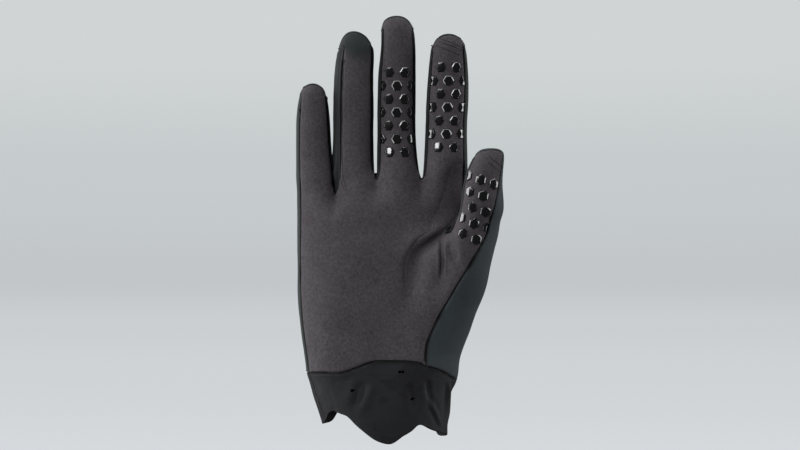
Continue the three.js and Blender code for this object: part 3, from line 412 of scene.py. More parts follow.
def hollow_beside_thumb(bm):
    """Sinks the palm beside the thumb, and marks the painted shade of the hollow, darkest where it is sunk in full.
    """
    painted_fold_shade = bm.verts.layers.float["painted_fold_shade"]
    path = [Vector((x, 0, z)) * MM for x, z in THUMB_HOLLOW["path"]]
    in_front, behind = (value * MM for value in THUMB_HOLLOW["thumb"])
    reach = THUMB_HOLLOW["reach"] * MM
    for vert in bm.verts:
        if vert.normal.y > PALM_TURN or not lies_in(vert, PALM):
            continue
        flat = Vector((vert.co.x, 0, vert.co.z))
        off = min(distance_to_segment(flat, a, b) for a, b in zip(path, path[1:]))
        if off < BELL_REACH * reach:
            share = bell(off, reach) * smoothstep(in_front, behind, vert.co.y)
            vert.co.y += THUMB_HOLLOW["depth"] * MM * share
            # painted shade of the hollow
            vert[painted_fold_shade] = THUMB_HOLLOW["shade"] * share


def press_creases(bm, creases):
    """Presses folds into the front of the skin, along its own direction outward."""
    bm.normal_update()
    painted_fold_shade = bm.verts.layers.float["painted_fold_shade"]
    for crease in creases:
        path = [Vector((x, z)) * MM for x, z in crease["path"]]
        width = crease["width"] * MM
        ends = [sum((path[i + 1] - path[i]).length for i in range(k)) for k in range(len(path))]
        for vert in bm.verts:
            if vert.normal.y > FOLD_TURN:
                continue
            p = Vector((vert.co.x, vert.co.z))
            best = None
            for i in range(len(path) - 1):
                step = path[i + 1] - path[i]
                t = min(max((p - path[i]).dot(step) / step.length_squared, 0.0), 1.0)
                off = p - path[i] - step * t
                if best is None or off.length < best[0]:
                    best = (off.length, ends[i] + t * step.length, off.x)
            distance, place, side = best
            if distance > FOLD_REACH * width:
                continue
            fade = smoothstep(*FADE_IN, place / ends[-1]) * smoothstep(*FADE_OUT, place / ends[-1])
            reach = width * (crease["steep"] if side > 0 else 1.0)
            press = crease["depth"] * bell(distance, reach) - crease["lift"] * bell(distance - 2 * reach, reach)
            vert.co -= vert.normal * press * fade * MM
            # painted shade in the depth of the crease
            shade = crease.get("shade", 0) * fade * bell(distance, SHADE_WIDTH * width)
            vert[painted_fold_shade] = max(vert[painted_fold_shade], shade)


def soften(bm):
    """Gives the plain skin the slow unevenness of worn cloth."""
    bm.normal_update()
    for vert in bm.verts:
        slow = noise.noise(vert.co / SLOW_ACROSS)
        quick = noise.noise(vert.co / QUICK_ACROSS + QUICK_SHIFT)
        vert.co += vert.normal * (PLUMP + SLOW_HIGH * slow + QUICK_HIGH * quick)


def cut_panel(skin, name):
    """One panel of the skin, its cut edges turned in at the seams."""
    bm = skin.copy()
    number = NUMBER[name]
    turned = {v.index: v.normal.copy() for e in seam_edges(bm) for v in e.verts}
    marks = bm.verts.layers.int.new("seam")
    for vert in bm.verts:
        vert[marks] = vert.index + 1 if vert.index in turned and not is_corner(vert) else 0
    drop_faces(bm, [f for f in bm.faces if f.material_index != number])
    for vert in bm.verts:
        if not vert[marks]:
            continue
        faces = vert.link_faces
        inside = sum((f.calc_center_median() for f in faces), Vector()) / len(faces) - vert.co
        normal = turned[vert[marks] - 1]
        inside -= normal * inside.dot(normal)
        vert.co += inside.normalized() * SEAM_HALF - normal * TURN_IN * SHALLOWS.share(vert.co)
    bm.verts.layers.int.remove(marks)
    for face in bm.faces:
        face.material_index = 0
    return finished(name + "_cloth", bm, PANELS[name], [name])


def finished(name, bm, finish, nodes=()):
    """A finished piece in its material: it rides on the one body and stands for the nodes that it replaces."""
    obj = new_object(name, bm)
    obj.data.materials.append(MATERIALS[finish])
    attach(obj, "root")
    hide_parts(*nodes)
    return obj


def give_wall(obj, thickness):
    """Gives the cloth its thickness, and thins out the mesh of the largest panels where it is smooth."""
    wall = obj.modifiers.new("wall", "SOLIDIFY")
    wall.thickness = thickness
    wall.offset = -1
    triangles = TRIANGLES_A_FACE * len(obj.data.polygons)
    if triangles > MOST_TRIANGLES:
        thinning = obj.modifiers.new("thinning", "DECIMATE")
        thinning.ratio = MOST_TRIANGLES / triangles


# Threads. pitch: from stitch to stitch, long and thick: of one stitch, beside: how far off the seam it lies,
# toward the first panel; slant: how far it turns across the seam, in degrees
THREAD_SINK = 0.08 * MM
SEAM_STITCHES = [
    {"panels": ("back_panel", "palm_panel"), "pitch": 1.9, "long": 1.1, "thick": 0.26, "beside": 0.25, "slant": 35},
    {"panels": ("thumb_outer_panel", "palm_panel"), "pitch": 1.8, "long": 1.1, "thick": 0.26, "beside": 0.3,
     "slant": 20},
    {"panels": ("thumb_gusset", "palm_panel"), "pitch": 1.9, "long": 1.1, "thick": 0.24, "beside": 0.25, "slant": 35},
    {"panels": ("cuff_front", "palm_panel"), "pitch": 1.5, "long": 1.25, "thick": 0.3, "beside": 0.1, "slant": 8},
    {"panels": ("cuff_front", "thumb_outer_panel"), "pitch": 1.8, "long": 1.2, "thick": 0.32, "beside": 0.1,
     "slant": 25},
    {"panels": ("cuff_back", "back_panel"), "pitch": 1.5, "long": 1.25, "thick": 0.3, "beside": 0.1, "slant": 8},
    {"panels": ("cuff_back", "thumb_outer_panel"), "pitch": 1.5, "long": 1.25, "thick": 0.3, "beside": 0.1,
     "slant": 8},
    {"panels": ("back_panel", "thumb_outer_panel"), "pitch": 1.9, "long": 1.1, "thick": 0.26, "beside": 0.25,
     "slant": 20},
]
for strip in WEB_RISES:
    for side in ("palm_panel", "back_panel"):
        SEAM_STITCHES.append({"panels": (strip, side), "pitch": 1.9, "long": 1.0, "thick": 0.24, "beside": 0.2,
                              "slant": 35})
# Lines of stitches across the touch tips: ends in the front view, in millimetres
TIP_LINES = {
    "index": [((31.4, 179.7), (43.1, 175.1)), ((31.0, 178.0), (42.3, 173.8)), ((29.4, 175.9), (41.0, 171.0))],
    "thumb": [((57.5, 115.5), (64.5, 110.0)), ((57.0, 112.5), (64.8, 106.5))],
}
TIP_PITCH = 1.45
TIP_LONG = 1.3
TIP_THICK = 0.46
TOWARD_VIEWER = Vector((0, -1, 0))
FAR_OFF = 80 * MM               # in front of the glove, where the search for the cloth starts


def one_stitch():
    """The mesh of one stitch of unit size, laid along x."""
    bm = bmesh.new()
    bmesh.ops.create_uvsphere(bm, u_segments=5, v_segments=4, radius=0.5,
                              matrix=Matrix.Rotation(math.pi / 2, 4, "Y"))
    mesh = bpy.data.meshes.new("one_stitch")
    bm.to_mesh(mesh)
    bm.free()
    return mesh


def stitch(bm, place, along, outward, long, thick):
    """One stitch: a small round-ended bar that lies on the cloth."""
    across = outward.cross(along).normalized()
    turn = Matrix((along, across, outward)).transposed().to_quaternion()
    copy = ONE_STITCH.copy()
    copy.transform(Matrix.LocRotScale(place, turn, Vector((long, thick, thick))))
    bm.from_mesh(copy)
    bpy.data.meshes.remove(copy)


def seam_runs(bm, pair):
    """The seam between two panels: runs of vertices in order."""
    left = [e for e in seam_edges(bm) if {f.material_index for f in e.link_faces} == pair]
    open_edges = set(left)
    runs = []
    for first in left:
        if first not in open_edges:
            continue
        open_edges.discard(first)
        run = list(first.verts)
        for end in (1, 0):
            while True:
                tail = run[-1] if end else run[0]
                step = next((e for e in tail.link_edges if e in open_edges), None)
                if step is None:
                    break
                open_edges.discard(step)
                run.insert(len(run) if end else 0, step.other_vert(tail))
        runs.append(run)
    return runs


def walk(run, pitch):
    """Even steps along a run of vertices: place, direction and the cloth's direction outward."""
    spent = pitch / 2
    for a, b in zip(run, run[1:]):
        way = b.co - a.co
        long = way.length
        while spent < long:
            share = spent / long
            yield a.co.lerp(b.co, share), way.normalized(), a.normal.lerp(b.normal, share).normalized()
            spent += pitch
        spent -= long


def seam_threads(bm):
    """The rows of stitches along the seams."""
    for look in SEAM_STITCHES:
        first, second = look["panels"]
        threads = bmesh.new()
        for run in seam_runs(bm, {NUMBER[first], NUMBER[second]}):
            halfway = len(run) // 2
            middle = run[halfway]
            near = next(f for f in middle.link_faces if f.material_index == NUMBER[first])
            way = (middle.co - run[halfway - 1].co).normalized()
            side = 1 if middle.normal.cross(way).dot(near.calc_center_median() - middle.co) > 0 else -1
            for place, along, outward in walk(run, look["pitch"] * MM):
                across = outward.cross(along).normalized() * side
                turn = math.radians(look["slant"])
                along = along * math.cos(turn) + across * math.sin(turn)
                place = place + across * look["beside"] * MM + outward * THREAD_SINK
                stitch(threads, place, along, outward, look["long"] * MM, look["thick"] * MM)
        if threads.verts:
            finished(f"thread_{first}_{second}", threads, "thread")
        else:
            threads.free()


def tip_threads(tree):
    """The stitched lines across the touch tips of forefinger and thumb."""
    for finger, lines in TIP_LINES.items():
        threads = bmesh.new()
        for start, end in lines:
            a, b = (Vector((x, 0, z)) * MM for x, z in (start, end))
            steps = int((b - a).length / (TIP_PITCH * MM))
            for i in range(steps + 1):
                place = a.lerp(b, i / steps)
                hit, outward, _, _ = tree.ray_cast(place + TOWARD_VIEWER * FAR_OFF, -TOWARD_VIEWER)
                if hit is None:
                    continue
                along = b - a
                along -= outward * along.dot(outward)
                stitch(threads, hit, along.normalized(), outward, TIP_LONG * MM, TIP_THICK * MM)
        finished(f"thread_{finger}_tip", threads, "thread")


# Slots cut through the front of the cuff: place and size in the front view, in millimetres, and turn in degrees
CUFF_SLOTS = [
    {"at": (10.2, 0.4), "size": (3.4, 1.7), "turn": 0},
    {"at": (-16.0, -9.6), "size": (2.3, 1.5), "turn": -20},
    {"at": (16.2, -14.1), "size": (2.4, 1.5), "turn": -25},
]
SLOT_FRONT = -30                # in front of the cuff, in millimetres, where the middle of each cut lies
SLOT_CUT = 40 * MM              # length of each cut along the view


def slot_cutter():
    """Round-ended bars along the view, one for each slot, as one mesh."""
    bm = bmesh.new()
    for slot in CUFF_SLOTS:
        x, z = slot["at"]
        wide, high = slot["size"]
        turn = Matrix.Rotation(math.radians(slot["turn"]), 4, "Y") @ Matrix.Rotation(math.pi / 2, 4, "X")
        for end in (-1, 1):
            shift = Vector((end * (wide - high) / 2 * MM, 0, 0))
            place = Matrix.Translation(Vector((x, SLOT_FRONT, z)) * MM) @ turn @ Matrix.Translation(shift)
            bmesh.ops.create_cone(bm, cap_ends=True, segments=20, radius1=high / 2 * MM, radius2=high / 2 * MM,
                                  depth=SLOT_CUT, matrix=place)
    return new_object("slot_cutter", bm, smooth=False)


def cut_slots(cuff):
    """Cuts the slots through the cuff's wall and keeps the result as its mesh."""
    cutter = slot_cutter()
    slots = cuff.modifiers.new("slots", "BOOLEAN")
    slots.operation = "DIFFERENCE"
    slots.solver = "EXACT"
    slots.use_self = True
    slots.object = cutter
    bpy.context.view_layer.update()
    shaped = cuff.evaluated_get(bpy.context.evaluated_depsgraph_get())
    mesh = bpy.data.meshes.new_from_object(shaped)
    cuff.modifiers.clear()
    cuff.data = mesh
    bpy.data.objects.remove(cutter)


# Silicone hexagons
GRIP_SEED = 4
DOT_SINK = 0.12 * MM            # pressed into the nap
DOT_HIGH = 0.75 * MM
DOT_SIDE = 0.28 * MM            # height of the upright side under the bevel
DOT_BEVEL = 0.62 * MM
DOT_ROUND = 0.07 * MM
DOT_GROW = 1.07                 # with its soft foot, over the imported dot
DOT_TILT = 0.05                 # most rise of a dot's flat top per length across it
DOT_FLAT = math.radians(40)     # faces of a packed dot that turn by less are one
DOT_SHARP = math.radians(18)    # edges that turn by more are rounded
CLOTH_ABOVE = 5 * MM            # where the search for the cloth under a dot starts
CLOTH_BELOW = 12 * MM           # how far it goes


def dot_outline(name):
    """The foot of a packed dot: its corners in order, and the direction away from the cloth."""
    bm = bmesh.new()
    bm.from_mesh(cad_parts[name].data)
    bmesh.ops.remove_doubles(bm, verts=bm.verts[:], dist=WELD)
    bmesh.ops.dissolve_limit(bm, angle_limit=DOT_FLAT, verts=bm.verts[:], edges=bm.edges[:])
    foot = max(bm.faces, key=lambda f: f.calc_area())
    corners = [v.co.copy() for v in foot.verts]
    outward = -foot.normal.copy()
    bm.free()
    return corners, outward


def on_cloth(tree, place, outward):
    """The place on the cloth below or above a place, along a direction."""
    hit = tree.ray_cast(place + outward * CLOTH_ABOVE, -outward, CLOTH_BELOW)[0]
    return hit or tree.find_nearest(place)[0]


def grip_dot(name, tree, draw):
    """One hexagon seated on the cloth: an upright side, a wide bevel and a slightly tilted flat top."""
    corners, outward = dot_outline(name)
    feet = [on_cloth(tree, corner, outward) for corner in corners]
    middle = sum(feet, Vector()) / len(feet)
    feet = [middle + (foot - middle) * DOT_GROW for foot in feet]
    tilt = Vector((draw.uniform(-DOT_TILT, DOT_TILT), 0, draw.uniform(-DOT_TILT, DOT_TILT)))
    bm = bmesh.new()
    face = bm.faces.new([bm.verts.new(foot - outward * DOT_SINK) for foot in feet])
    bmesh.ops.recalc_face_normals(bm, faces=[face])
    if face.normal.dot(outward) < 0:
        face.normal_flip()
    top = bmesh.ops.extrude_discrete_faces(bm, faces=[face])["faces"][0]
    bmesh.ops.translate(bm, verts=top.verts, vec=outward * (DOT_SINK + DOT_SIDE))
    bmesh.ops.inset_region(bm, faces=[top], thickness=DOT_BEVEL, depth=0)
    for vert in top.verts:
        vert.co += outward * (DOT_HIGH - DOT_SIDE + (vert.co - middle).dot(tilt))
    crown = bmesh.ops.poke(bm, faces=[top])["verts"][0]
    crown.co = on_cloth(tree, crown.co, outward) + outward * DOT_HIGH
    bm.normal_update()
    sharp = [e for e in bm.edges if len(e.link_faces) == 2 and e.calc_face_angle() > DOT_SHARP]
    bmesh.ops.bevel(bm, geom=sharp, offset=DOT_ROUND, offset_type="OFFSET", segments=2, profile=0.5,
                    affect="EDGES", material=-1)
    bmesh.ops.recalc_face_normals(bm, faces=bm.faces[:])
    finished(name.replace("grip", "silicone"), bm, "silicone", [name])


def grips(tree):
    draw = random.Random(GRIP_SEED)
    for name in sorted(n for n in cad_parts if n.startswith("grip_")):
        grip_dot(name, tree, draw)


# Node tools for the materials

def put(tree, kind, settings=None, values=(), **inputs):
    """Adds a node. settings are the node's own, values go to its sockets in order, and inputs by name; a socket given
    as a value is linked."""
    made = tree.nodes.new(kind)
    for key, value in (settings or {}).items():
        setattr(made, key, value)
    pairs = [(made.inputs[i], value) for i, value in enumerate(values) if value is not None]
    pairs += [(made.inputs[key.replace("_", " ")], value) for key, value in inputs.items()]
    for socket, value in pairs:
        if isinstance(value, bpy.types.NodeSocket):
            tree.links.new(value, socket)
        else:
            socket.default_value = value
    return made


def maths(tree, operation, *values):
    return put(tree, "ShaderNodeMath", {"operation": operation}, values).outputs[0]


def ramp(tree, value, low, high):
    """0 below low, 1 above high."""
    return put(tree, "ShaderNodeMapRange", {"clamp": True, "interpolation_type": "SMOOTHSTEP"},
               (value, low, high, 0.0, 1.0)).outputs[0]


def blend(tree, share, first, second, kind="MIX"):
    """Two colours mixed."""
    mixer = put(tree, "ShaderNodeMix", {"data_type": "RGBA", "blend_type": kind})
    for socket, value in ((mixer.inputs[0], share), (mixer.inputs[6], first), (mixer.inputs[7], second)):
        if isinstance(value, bpy.types.NodeSocket):
            tree.links.new(value, socket)
        else:
            socket.default_value = value
    return mixer.outputs[2]


def group(name, inputs, outputs):
    """A new node group: its tree, the node of its inputs, and the node of its outputs."""
    tree = bpy.data.node_groups.new(name, "ShaderNodeTree")
    for label, kind, value in inputs:
        socket = tree.interface.new_socket(label, in_out="INPUT", socket_type=kind)
        if value is not None:
            socket.default_value = value
    for label, kind in outputs:
        tree.interface.new_socket(label, in_out="OUTPUT", socket_type=kind)
    return tree, tree.nodes.new("NodeGroupInput"), tree.nodes.new("NodeGroupOutput")


def use(tree, shared, **inputs):
    return put(tree, "ShaderNodeGroup", {"node_tree": shared}, **inputs)


def tone_group():
    """Slow lighter and darker places of a dyed cloth."""
    tree, given, result = group("slow_tone",
                                [("Place", "NodeSocketVector", None), ("Size", "NodeSocketFloat", 0.02)],
                                [("Share", "NodeSocketFloat")])
    scale = maths(tree, "DIVIDE", 1.0, given.outputs["Size"])
    cloud = put(tree, "ShaderNodeTexNoise", Vector=given.outputs["Place"], Scale=scale, Detail=3.0, Roughness=0.55)
    tree.links.new(ramp(tree, cloud.outputs["Fac"], 0.3, 0.7), result.inputs["Share"])
    return tree


def nap_group():
    """Brushed nap: short fibres as height, and dark pits between tufts as a mask."""
    tree, given, result = group("brushed_nap",
                                [("Place", "NodeSocketVector", None), ("Size", "NodeSocketFloat", 0.001)],
                                [("Height", "NodeSocketFloat"), ("Pits", "NodeSocketFloat"),
                                 ("Fibres", "NodeSocketFloat")])
    scale = maths(tree, "DIVIDE", 1.0, given.outputs["Size"])
    tufts = put(tree, "ShaderNodeTexNoise", Vector=given.outputs["Place"], Scale=maths(tree, "MULTIPLY", scale, 1.3),
                Detail=3.0, Roughness=0.7)
    fine_scale = maths(tree, "MULTIPLY", scale, 2.6)
    fibres = put(tree, "ShaderNodeTexNoise", Vector=given.outputs["Place"], Scale=fine_scale, Detail=4.0,
                 Roughness=0.65)
    uneven = put(tree, "ShaderNodeTexNoise", Vector=given.outputs["Place"], Scale=maths(tree, "MULTIPLY", scale, 0.7),
                 Detail=1.0)
    pit = ramp(tree, tufts.outputs["Fac"], 0.45, 0.33)
    chosen = maths(tree, "MULTIPLY", pit, ramp(tree, uneven.outputs["Fac"], 0.4, 0.6))
    height = maths(tree, "SUBTRACT", fibres.outputs["Fac"], maths(tree, "MULTIPLY", chosen, 0.5))
    tree.links.new(height, result.inputs["Height"])
    tree.links.new(chosen, result.inputs["Pits"])
    tree.links.new(fibres.outputs["Fac"], result.inputs["Fibres"])
    return tree


def mottle_group():
    """Uneven dye of brushed fibres, from under a millimetre to a few millimetres across, as a factor around 1."""
    tree, given, result = group("mottled_dye",
                                [("Place", "NodeSocketVector", None), ("Size", "NodeSocketFloat", 0.002),
                                 ("Depth", "NodeSocketFloat", 0.5)],
                                [("Factor", "NodeSocketColor")])
    scale = maths(tree, "DIVIDE", 1.0, given.outputs["Size"])
    cloud = put(tree, "ShaderNodeTexNoise", Vector=given.outputs["Place"], Scale=scale, Detail=3.0, Roughness=0.7)
    swing = maths(tree, "MULTIPLY", maths(tree, "SUBTRACT", cloud.outputs["Fac"], 0.5), given.outputs["Depth"])
    tree.links.new(maths(tree, "ADD", swing, 1.0), result.inputs["Factor"])
    return tree


def knit_group():
    """Columns of small V stitches of a knitted cloth, as height. Facing is the cloth's direction outward."""
    tree, given, result = group("fine_knit",
                                [("Place", "NodeSocketVector", None), ("Facing", "NodeSocketVector", None),
                                 ("Pitch", "NodeSocketFloat", 0.0007)],
                                [("Height", "NodeSocketFloat")])
    place = put(tree, "ShaderNodeSeparateXYZ", None, (given.outputs["Place"],))
    facing = put(tree, "ShaderNodeSeparateXYZ", None, (given.outputs["Facing"],))
    turn = maths(tree, "DIVIDE", math.tau, given.outputs["Pitch"])
    sideways = ramp(tree, maths(tree, "ABSOLUTE", facing.outputs[0]), 0.6, 0.8)
    columns = []
    for axis in (0, 1):
        phase = maths(tree, "MULTIPLY", place.outputs[axis], turn)
        column = maths(tree, "COSINE", phase)
        rows = maths(tree, "ADD", maths(tree, "MULTIPLY", maths(tree, "MULTIPLY", place.outputs[2], turn), 0.8),
                     maths(tree, "MULTIPLY", column, 1.3))
        columns.append(maths(tree, "ADD", maths(tree, "MULTIPLY", column, 0.5), maths(tree, "SINE", rows)))
    mixed = put(tree, "ShaderNodeMix", {"data_type": "FLOAT"}, (sideways, None, columns[0], columns[1])).outputs[0]
    tree.links.new(maths(tree, "MULTIPLY", mixed, 0.5), result.inputs["Height"])
    return tree


def new_material(name):
    material = bpy.data.materials.new(name)
    material.use_nodes = True
    return material, material.node_tree, material.node_tree.nodes["Principled BSDF"]


def set_shader(shader, **values):
    for key, value in values.items():
        shader.inputs[key.replace("_", " ")].default_value = value


# Painted shade of the folds; blacks of the seams, which reach wide as painted shade beside the ring finger's valley
# seam; black of the cuff's blotches; and the green painted shade of the ring fingertip
FOLD_PAINTED_SHADE = (0.004, 0.004, 0.0045, 1)
SEAM_DARK = (0.003, 0.003, 0.0035, 1)
SEAM_LINE = (0.6, 1.0)          # nearness to a seam, from where its dark line starts to where it is full
SEAM_SHARE = 0.85
BLOTCH_DARK = (0.003, 0.003, 0.004, 1)
BLOTCH_SCALE = 72.0
BLOTCH_EDGE = (0.55, 0.62)
BLOTCH_SHARE = 0.6
TIP_SHADE_GREEN = (0.018, 0.024, 0.024, 1)
TIP_GREEN_SHARE = 0.9
TIP_FADE_START = 0.35           # share of the fade's reach, inside which the green is full


def cloth_material(name, look):
    """A dyed cloth: slow tone, nap or knit, painted shade in the folds, and dark seams with painted shade beside the
    ring finger's valley seam.
    """
    material, tree, shader = new_material(name)
    coords = put(tree, "ShaderNodeTexCoord")
    place = coords.outputs["Object"]
    near_seam = put(tree, "ShaderNodeAttribute", {"attribute_name": "near_seam"}).outputs["Fac"]
    slow = use(tree, SHARED["tone"], Place=place, Size=look["patch"])
    colour = blend(tree, slow.outputs[0], (*look["dark"], 1), (*look["light"], 1))
    nap = use(tree, SHARED["nap"], Place=place, Size=look["nap"])
    fleck = maths(tree, "MULTIPLY", nap.outputs["Pits"], look["pits"])
    colour = blend(tree, fleck, colour, (0, 0, 0, 1))
    bright = maths(tree, "MULTIPLY", ramp(tree, nap.outputs["Fibres"], 0.45, 0.75), look["fibres"])
    colour = blend(tree, bright, colour, (1, 1, 1, 1), "OVERLAY")
    mottle = use(tree, SHARED["mottle"], Place=place, Size=look["mottle"], Depth=look["contrast"])
    colour = blend(tree, 1.0, colour, mottle.outputs[0], "MULTIPLY")
    if "over" in look:
        colour = look["over"](tree, place, colour)
    # painted shade in the folds and in the hollow beside the thumb
    painted_fold_shade = put(tree, "ShaderNodeAttribute", {"attribute_name": "painted_fold_shade"}).outputs["Fac"]
    colour = blend(tree, painted_fold_shade, colour, FOLD_PAINTED_SHADE)
    # dark seam lines, widened beside the ring finger's valley seam into painted shade
    line = maths(tree, "MULTIPLY", ramp(tree, near_seam, *SEAM_LINE), SEAM_SHARE)
    colour = blend(tree, line, colour, SEAM_DARK)
    height = nap.outputs["Height"]
    if look["knit"]:
        knit = use(tree, SHARED["knit"], Place=place, Facing=coords.outputs["Normal"], Pitch=look["knit"])
        height = maths(tree, "ADD", knit.outputs["Height"], maths(tree, "MULTIPLY", height, 0.3))
    bump = put(tree, "ShaderNodeBump", Height=height, Strength=look["bump"], Distance=look["relief"])
    tree.links.new(colour, shader.inputs["Base Color"])
    tree.links.new(bump.outputs["Normal"], shader.inputs["Normal"])
    rough = maths(tree, "ADD", look["rough"], maths(tree, "MULTIPLY", nap.outputs["Fibres"], 0.1))
    tree.links.new(rough, shader.inputs["Roughness"])
    set_shader(shader, Sheen_Weight=look["sheen"], Sheen_Roughness=0.45, Specular_IOR_Level=look["gloss"])
    return material


def ring_tip_painted_shade(tree, place, colour):
    """Painted shade at the ring finger's tip: the suede darkens into green toward the tip."""
    spot = put(tree, "ShaderNodeVectorMath", {"operation": "DISTANCE"}, (place, tuple(RING_TIP_FADE)))
    share = ramp(tree, spot.outputs["Value"], RING_FADE_REACH, TIP_FADE_START * RING_FADE_REACH)
    return blend(tree, maths(tree, "MULTIPLY", share, TIP_GREEN_SHARE), colour, TIP_SHADE_GREEN)


def tonal_blotches(tree, place, colour):
    """Faint angular patches, a shade darker than the cuff's cloth."""
    cells = put(tree, "ShaderNodeTexVoronoi", {"distance": "MANHATTAN"}, Vector=place, Scale=BLOTCH_SCALE,
                Randomness=1.0)
    tint = put(tree, "ShaderNodeSeparateColor", None, (cells.outputs["Color"],)).outputs[0]
    share = ramp(tree, tint, *BLOTCH_EDGE)
    return blend(tree, maths(tree, "MULTIPLY", share, BLOTCH_SHARE), colour, BLOTCH_DARK)


# Each cloth. dark, light: its dye. Lengths in metres: patch, of its slow tones; nap, of its tufts; mottle, of its
# uneven dye; knit, from one column of stitches to the next, or 0; relief, of its surface. The rest are shares.
LOOKS = {
    # the suede's over paints green shade at the ring fingertip
    "suede": {"dark": (0.046, 0.041, 0.046), "light": (0.056, 0.051, 0.056), "patch": 0.02, "nap": 0.001,
              "pits": 0.6, "fibres": 0.25, "mottle": 0.0016, "contrast": 1.2, "knit": 0, "bump": 0.5,
              "relief": 0.00025, "rough": 0.85, "sheen": 0.07, "gloss": 0.15, "over": ring_tip_painted_shade},
    "stretch_back": {"dark": (0.017, 0.022, 0.021), "light": (0.023, 0.029, 0.028), "patch": 0.025, "nap": 0.0006,
                     "pits": 0.1, "fibres": 0.1, "mottle": 0.002, "contrast": 0.4, "knit": 0.0008, "bump": 0.6,
                     "relief": 0.00015, "rough": 0.75, "sheen": 0.06, "gloss": 0.25},
    "thumb_fabric": {"dark": (0.022, 0.029, 0.034), "light": (0.028, 0.037, 0.041), "patch": 0.02, "nap": 0.0005,
                     "pits": 0.08, "fibres": 0.1, "mottle": 0.002, "contrast": 0.3, "knit": 0.0006, "bump": 0.35,
                     "relief": 0.0001, "rough": 0.7, "sheen": 0.08, "gloss": 0.25},
    "fourchette_fabric": {"dark": (0.011, 0.0125, 0.0135), "light": (0.015, 0.017, 0.018), "patch": 0.02,
                          "nap": 0.0006, "pits": 0.1, "fibres": 0.1, "mottle": 0.002, "contrast": 0.4,
                          "knit": 0.0007, "bump": 0.5, "relief": 0.00012, "rough": 0.75, "sheen": 0.05,
                          "gloss": 0.25},
    "cuff_fabric": {"dark": (0.0068, 0.0074, 0.0086), "light": (0.0105, 0.0111, 0.0127), "patch": 0.03,
                    "nap": 0.0005, "pits": 0.08, "fibres": 0.08, "mottle": 0.002, "contrast": 0.3, "knit": 0.0006, "bump": 0.4,
                    "relief": 0.00012, "rough": 0.65, "sheen": 0.02, "gloss": 0.22, "over": tonal_blotches},
}


def silicone_material():
    material, tree, shader = new_material("silicone")
    place = put(tree, "ShaderNodeTexCoord").outputs["Object"]
    waves = put(tree, "ShaderNodeTexNoise", Vector=place, Scale=300.0, Detail=1.0)
    dust = put(tree, "ShaderNodeTexNoise", Vector=place, Scale=1500.0, Detail=3.0)
    bump = put(tree, "ShaderNodeBump", Height=waves.outputs["Fac"], Strength=0.25, Distance=0.0004)
    tree.links.new(bump.outputs["Normal"], shader.inputs["Normal"])
    tree.links.new(blend(tree, ramp(tree, dust.outputs["Fac"], 0.5, 0.8), (0.003, 0.003, 0.0035, 1),
                         (0.008, 0.008, 0.009, 1)), shader.inputs["Base Color"])
    tree.links.new(maths(tree, "ADD", 0.1, maths(tree, "MULTIPLY", dust.outputs["Fac"], 0.1)),
                   shader.inputs["Roughness"])
    set_shader(shader, IOR=1.5, Coat_Weight=0.8, Coat_Roughness=0.08)
    return material


def thread_material():
    material, tree, shader = new_material("thread")
    place = put(tree, "ShaderNodeTexCoord").outputs["Object"]
    twist = put(tree, "ShaderNodeTexNoise", Vector=place, Scale=3000.0, Detail=2.0)
    tree.links.new(blend(tree, twist.outputs["Fac"], (0.0015, 0.0015, 0.002, 1), (0.005, 0.005, 0.006, 1)),
                   shader.inputs["Base Color"])
    set_shader(shader, Roughness=0.8, Specular_IOR_Level=0.2)
    return material


# Colours that the paper glows with as painted light, from the floor up the sweep: height in metres and colour
PAPER_TONES = [(-0.12, (0.640, 0.668, 0.690)), (-0.06, (0.600, 0.628, 0.648)), (0.0, (0.539, 0.566, 0.584)),
               (0.15, (0.565, 0.603, 0.611)), (0.38, (0.638, 0.668, 0.676))]
PAPER_DIFFUSE = 0.12


def paper_material():
    """Pale paper that gives most of its own light, so that its tone doesn't depend on the lights on the glove."""
    material, tree, shader = new_material("studio_paper")
    place = put(tree, "ShaderNodeTexCoord").outputs["Object"]
    height = put(tree, "ShaderNodeSeparateXYZ", None, (place,)).outputs[2]
    low, high = PAPER_TONES[0][0], PAPER_TONES[-1][0]
    share = put(tree, "ShaderNodeMapRange", {"clamp": True}, (height, low, high, 0.0, 1.0)).outputs[0]
    tones = put(tree, "ShaderNodeValToRGB", None, (share,))
    tones.color_ramp.interpolation = "EASE"
    elements = tones.color_ramp.elements
    while len(elements) < len(PAPER_TONES):
        elements.new(0.5)
    for element, (at, colour) in zip(elements, PAPER_TONES):
        element.position = (at - low) / (high - low)
        element.color = (*colour, 1)
    tree.links.new(tones.outputs["Color"], shader.inputs["Emission Color"])
    cloud = put(tree, "ShaderNodeTexNoise", Vector=place, Scale=0.8, Detail=2.0)
    tree.links.new(blend(tree, cloud.outputs["Fac"], (0.9 * PAPER_DIFFUSE, 0.93 * PAPER_DIFFUSE, PAPER_DIFFUSE, 1),
                         (PAPER_DIFFUSE, PAPER_DIFFUSE, PAPER_DIFFUSE, 1)), shader.inputs["Base Color"])
    set_shader(shader, Roughness=0.95, Specular_IOR_Level=0.0, Emission_Strength=0.93)
    return material


# Studio
FLOOR = -0.12                   # height of the paper under the glove
SWEEP_START = 2.2               # where the paper starts to rise, behind the glove
SWEEP_RADIUS = 1.4
SWEEP_TOP = 3.0
PAPER_HALF = 5.0


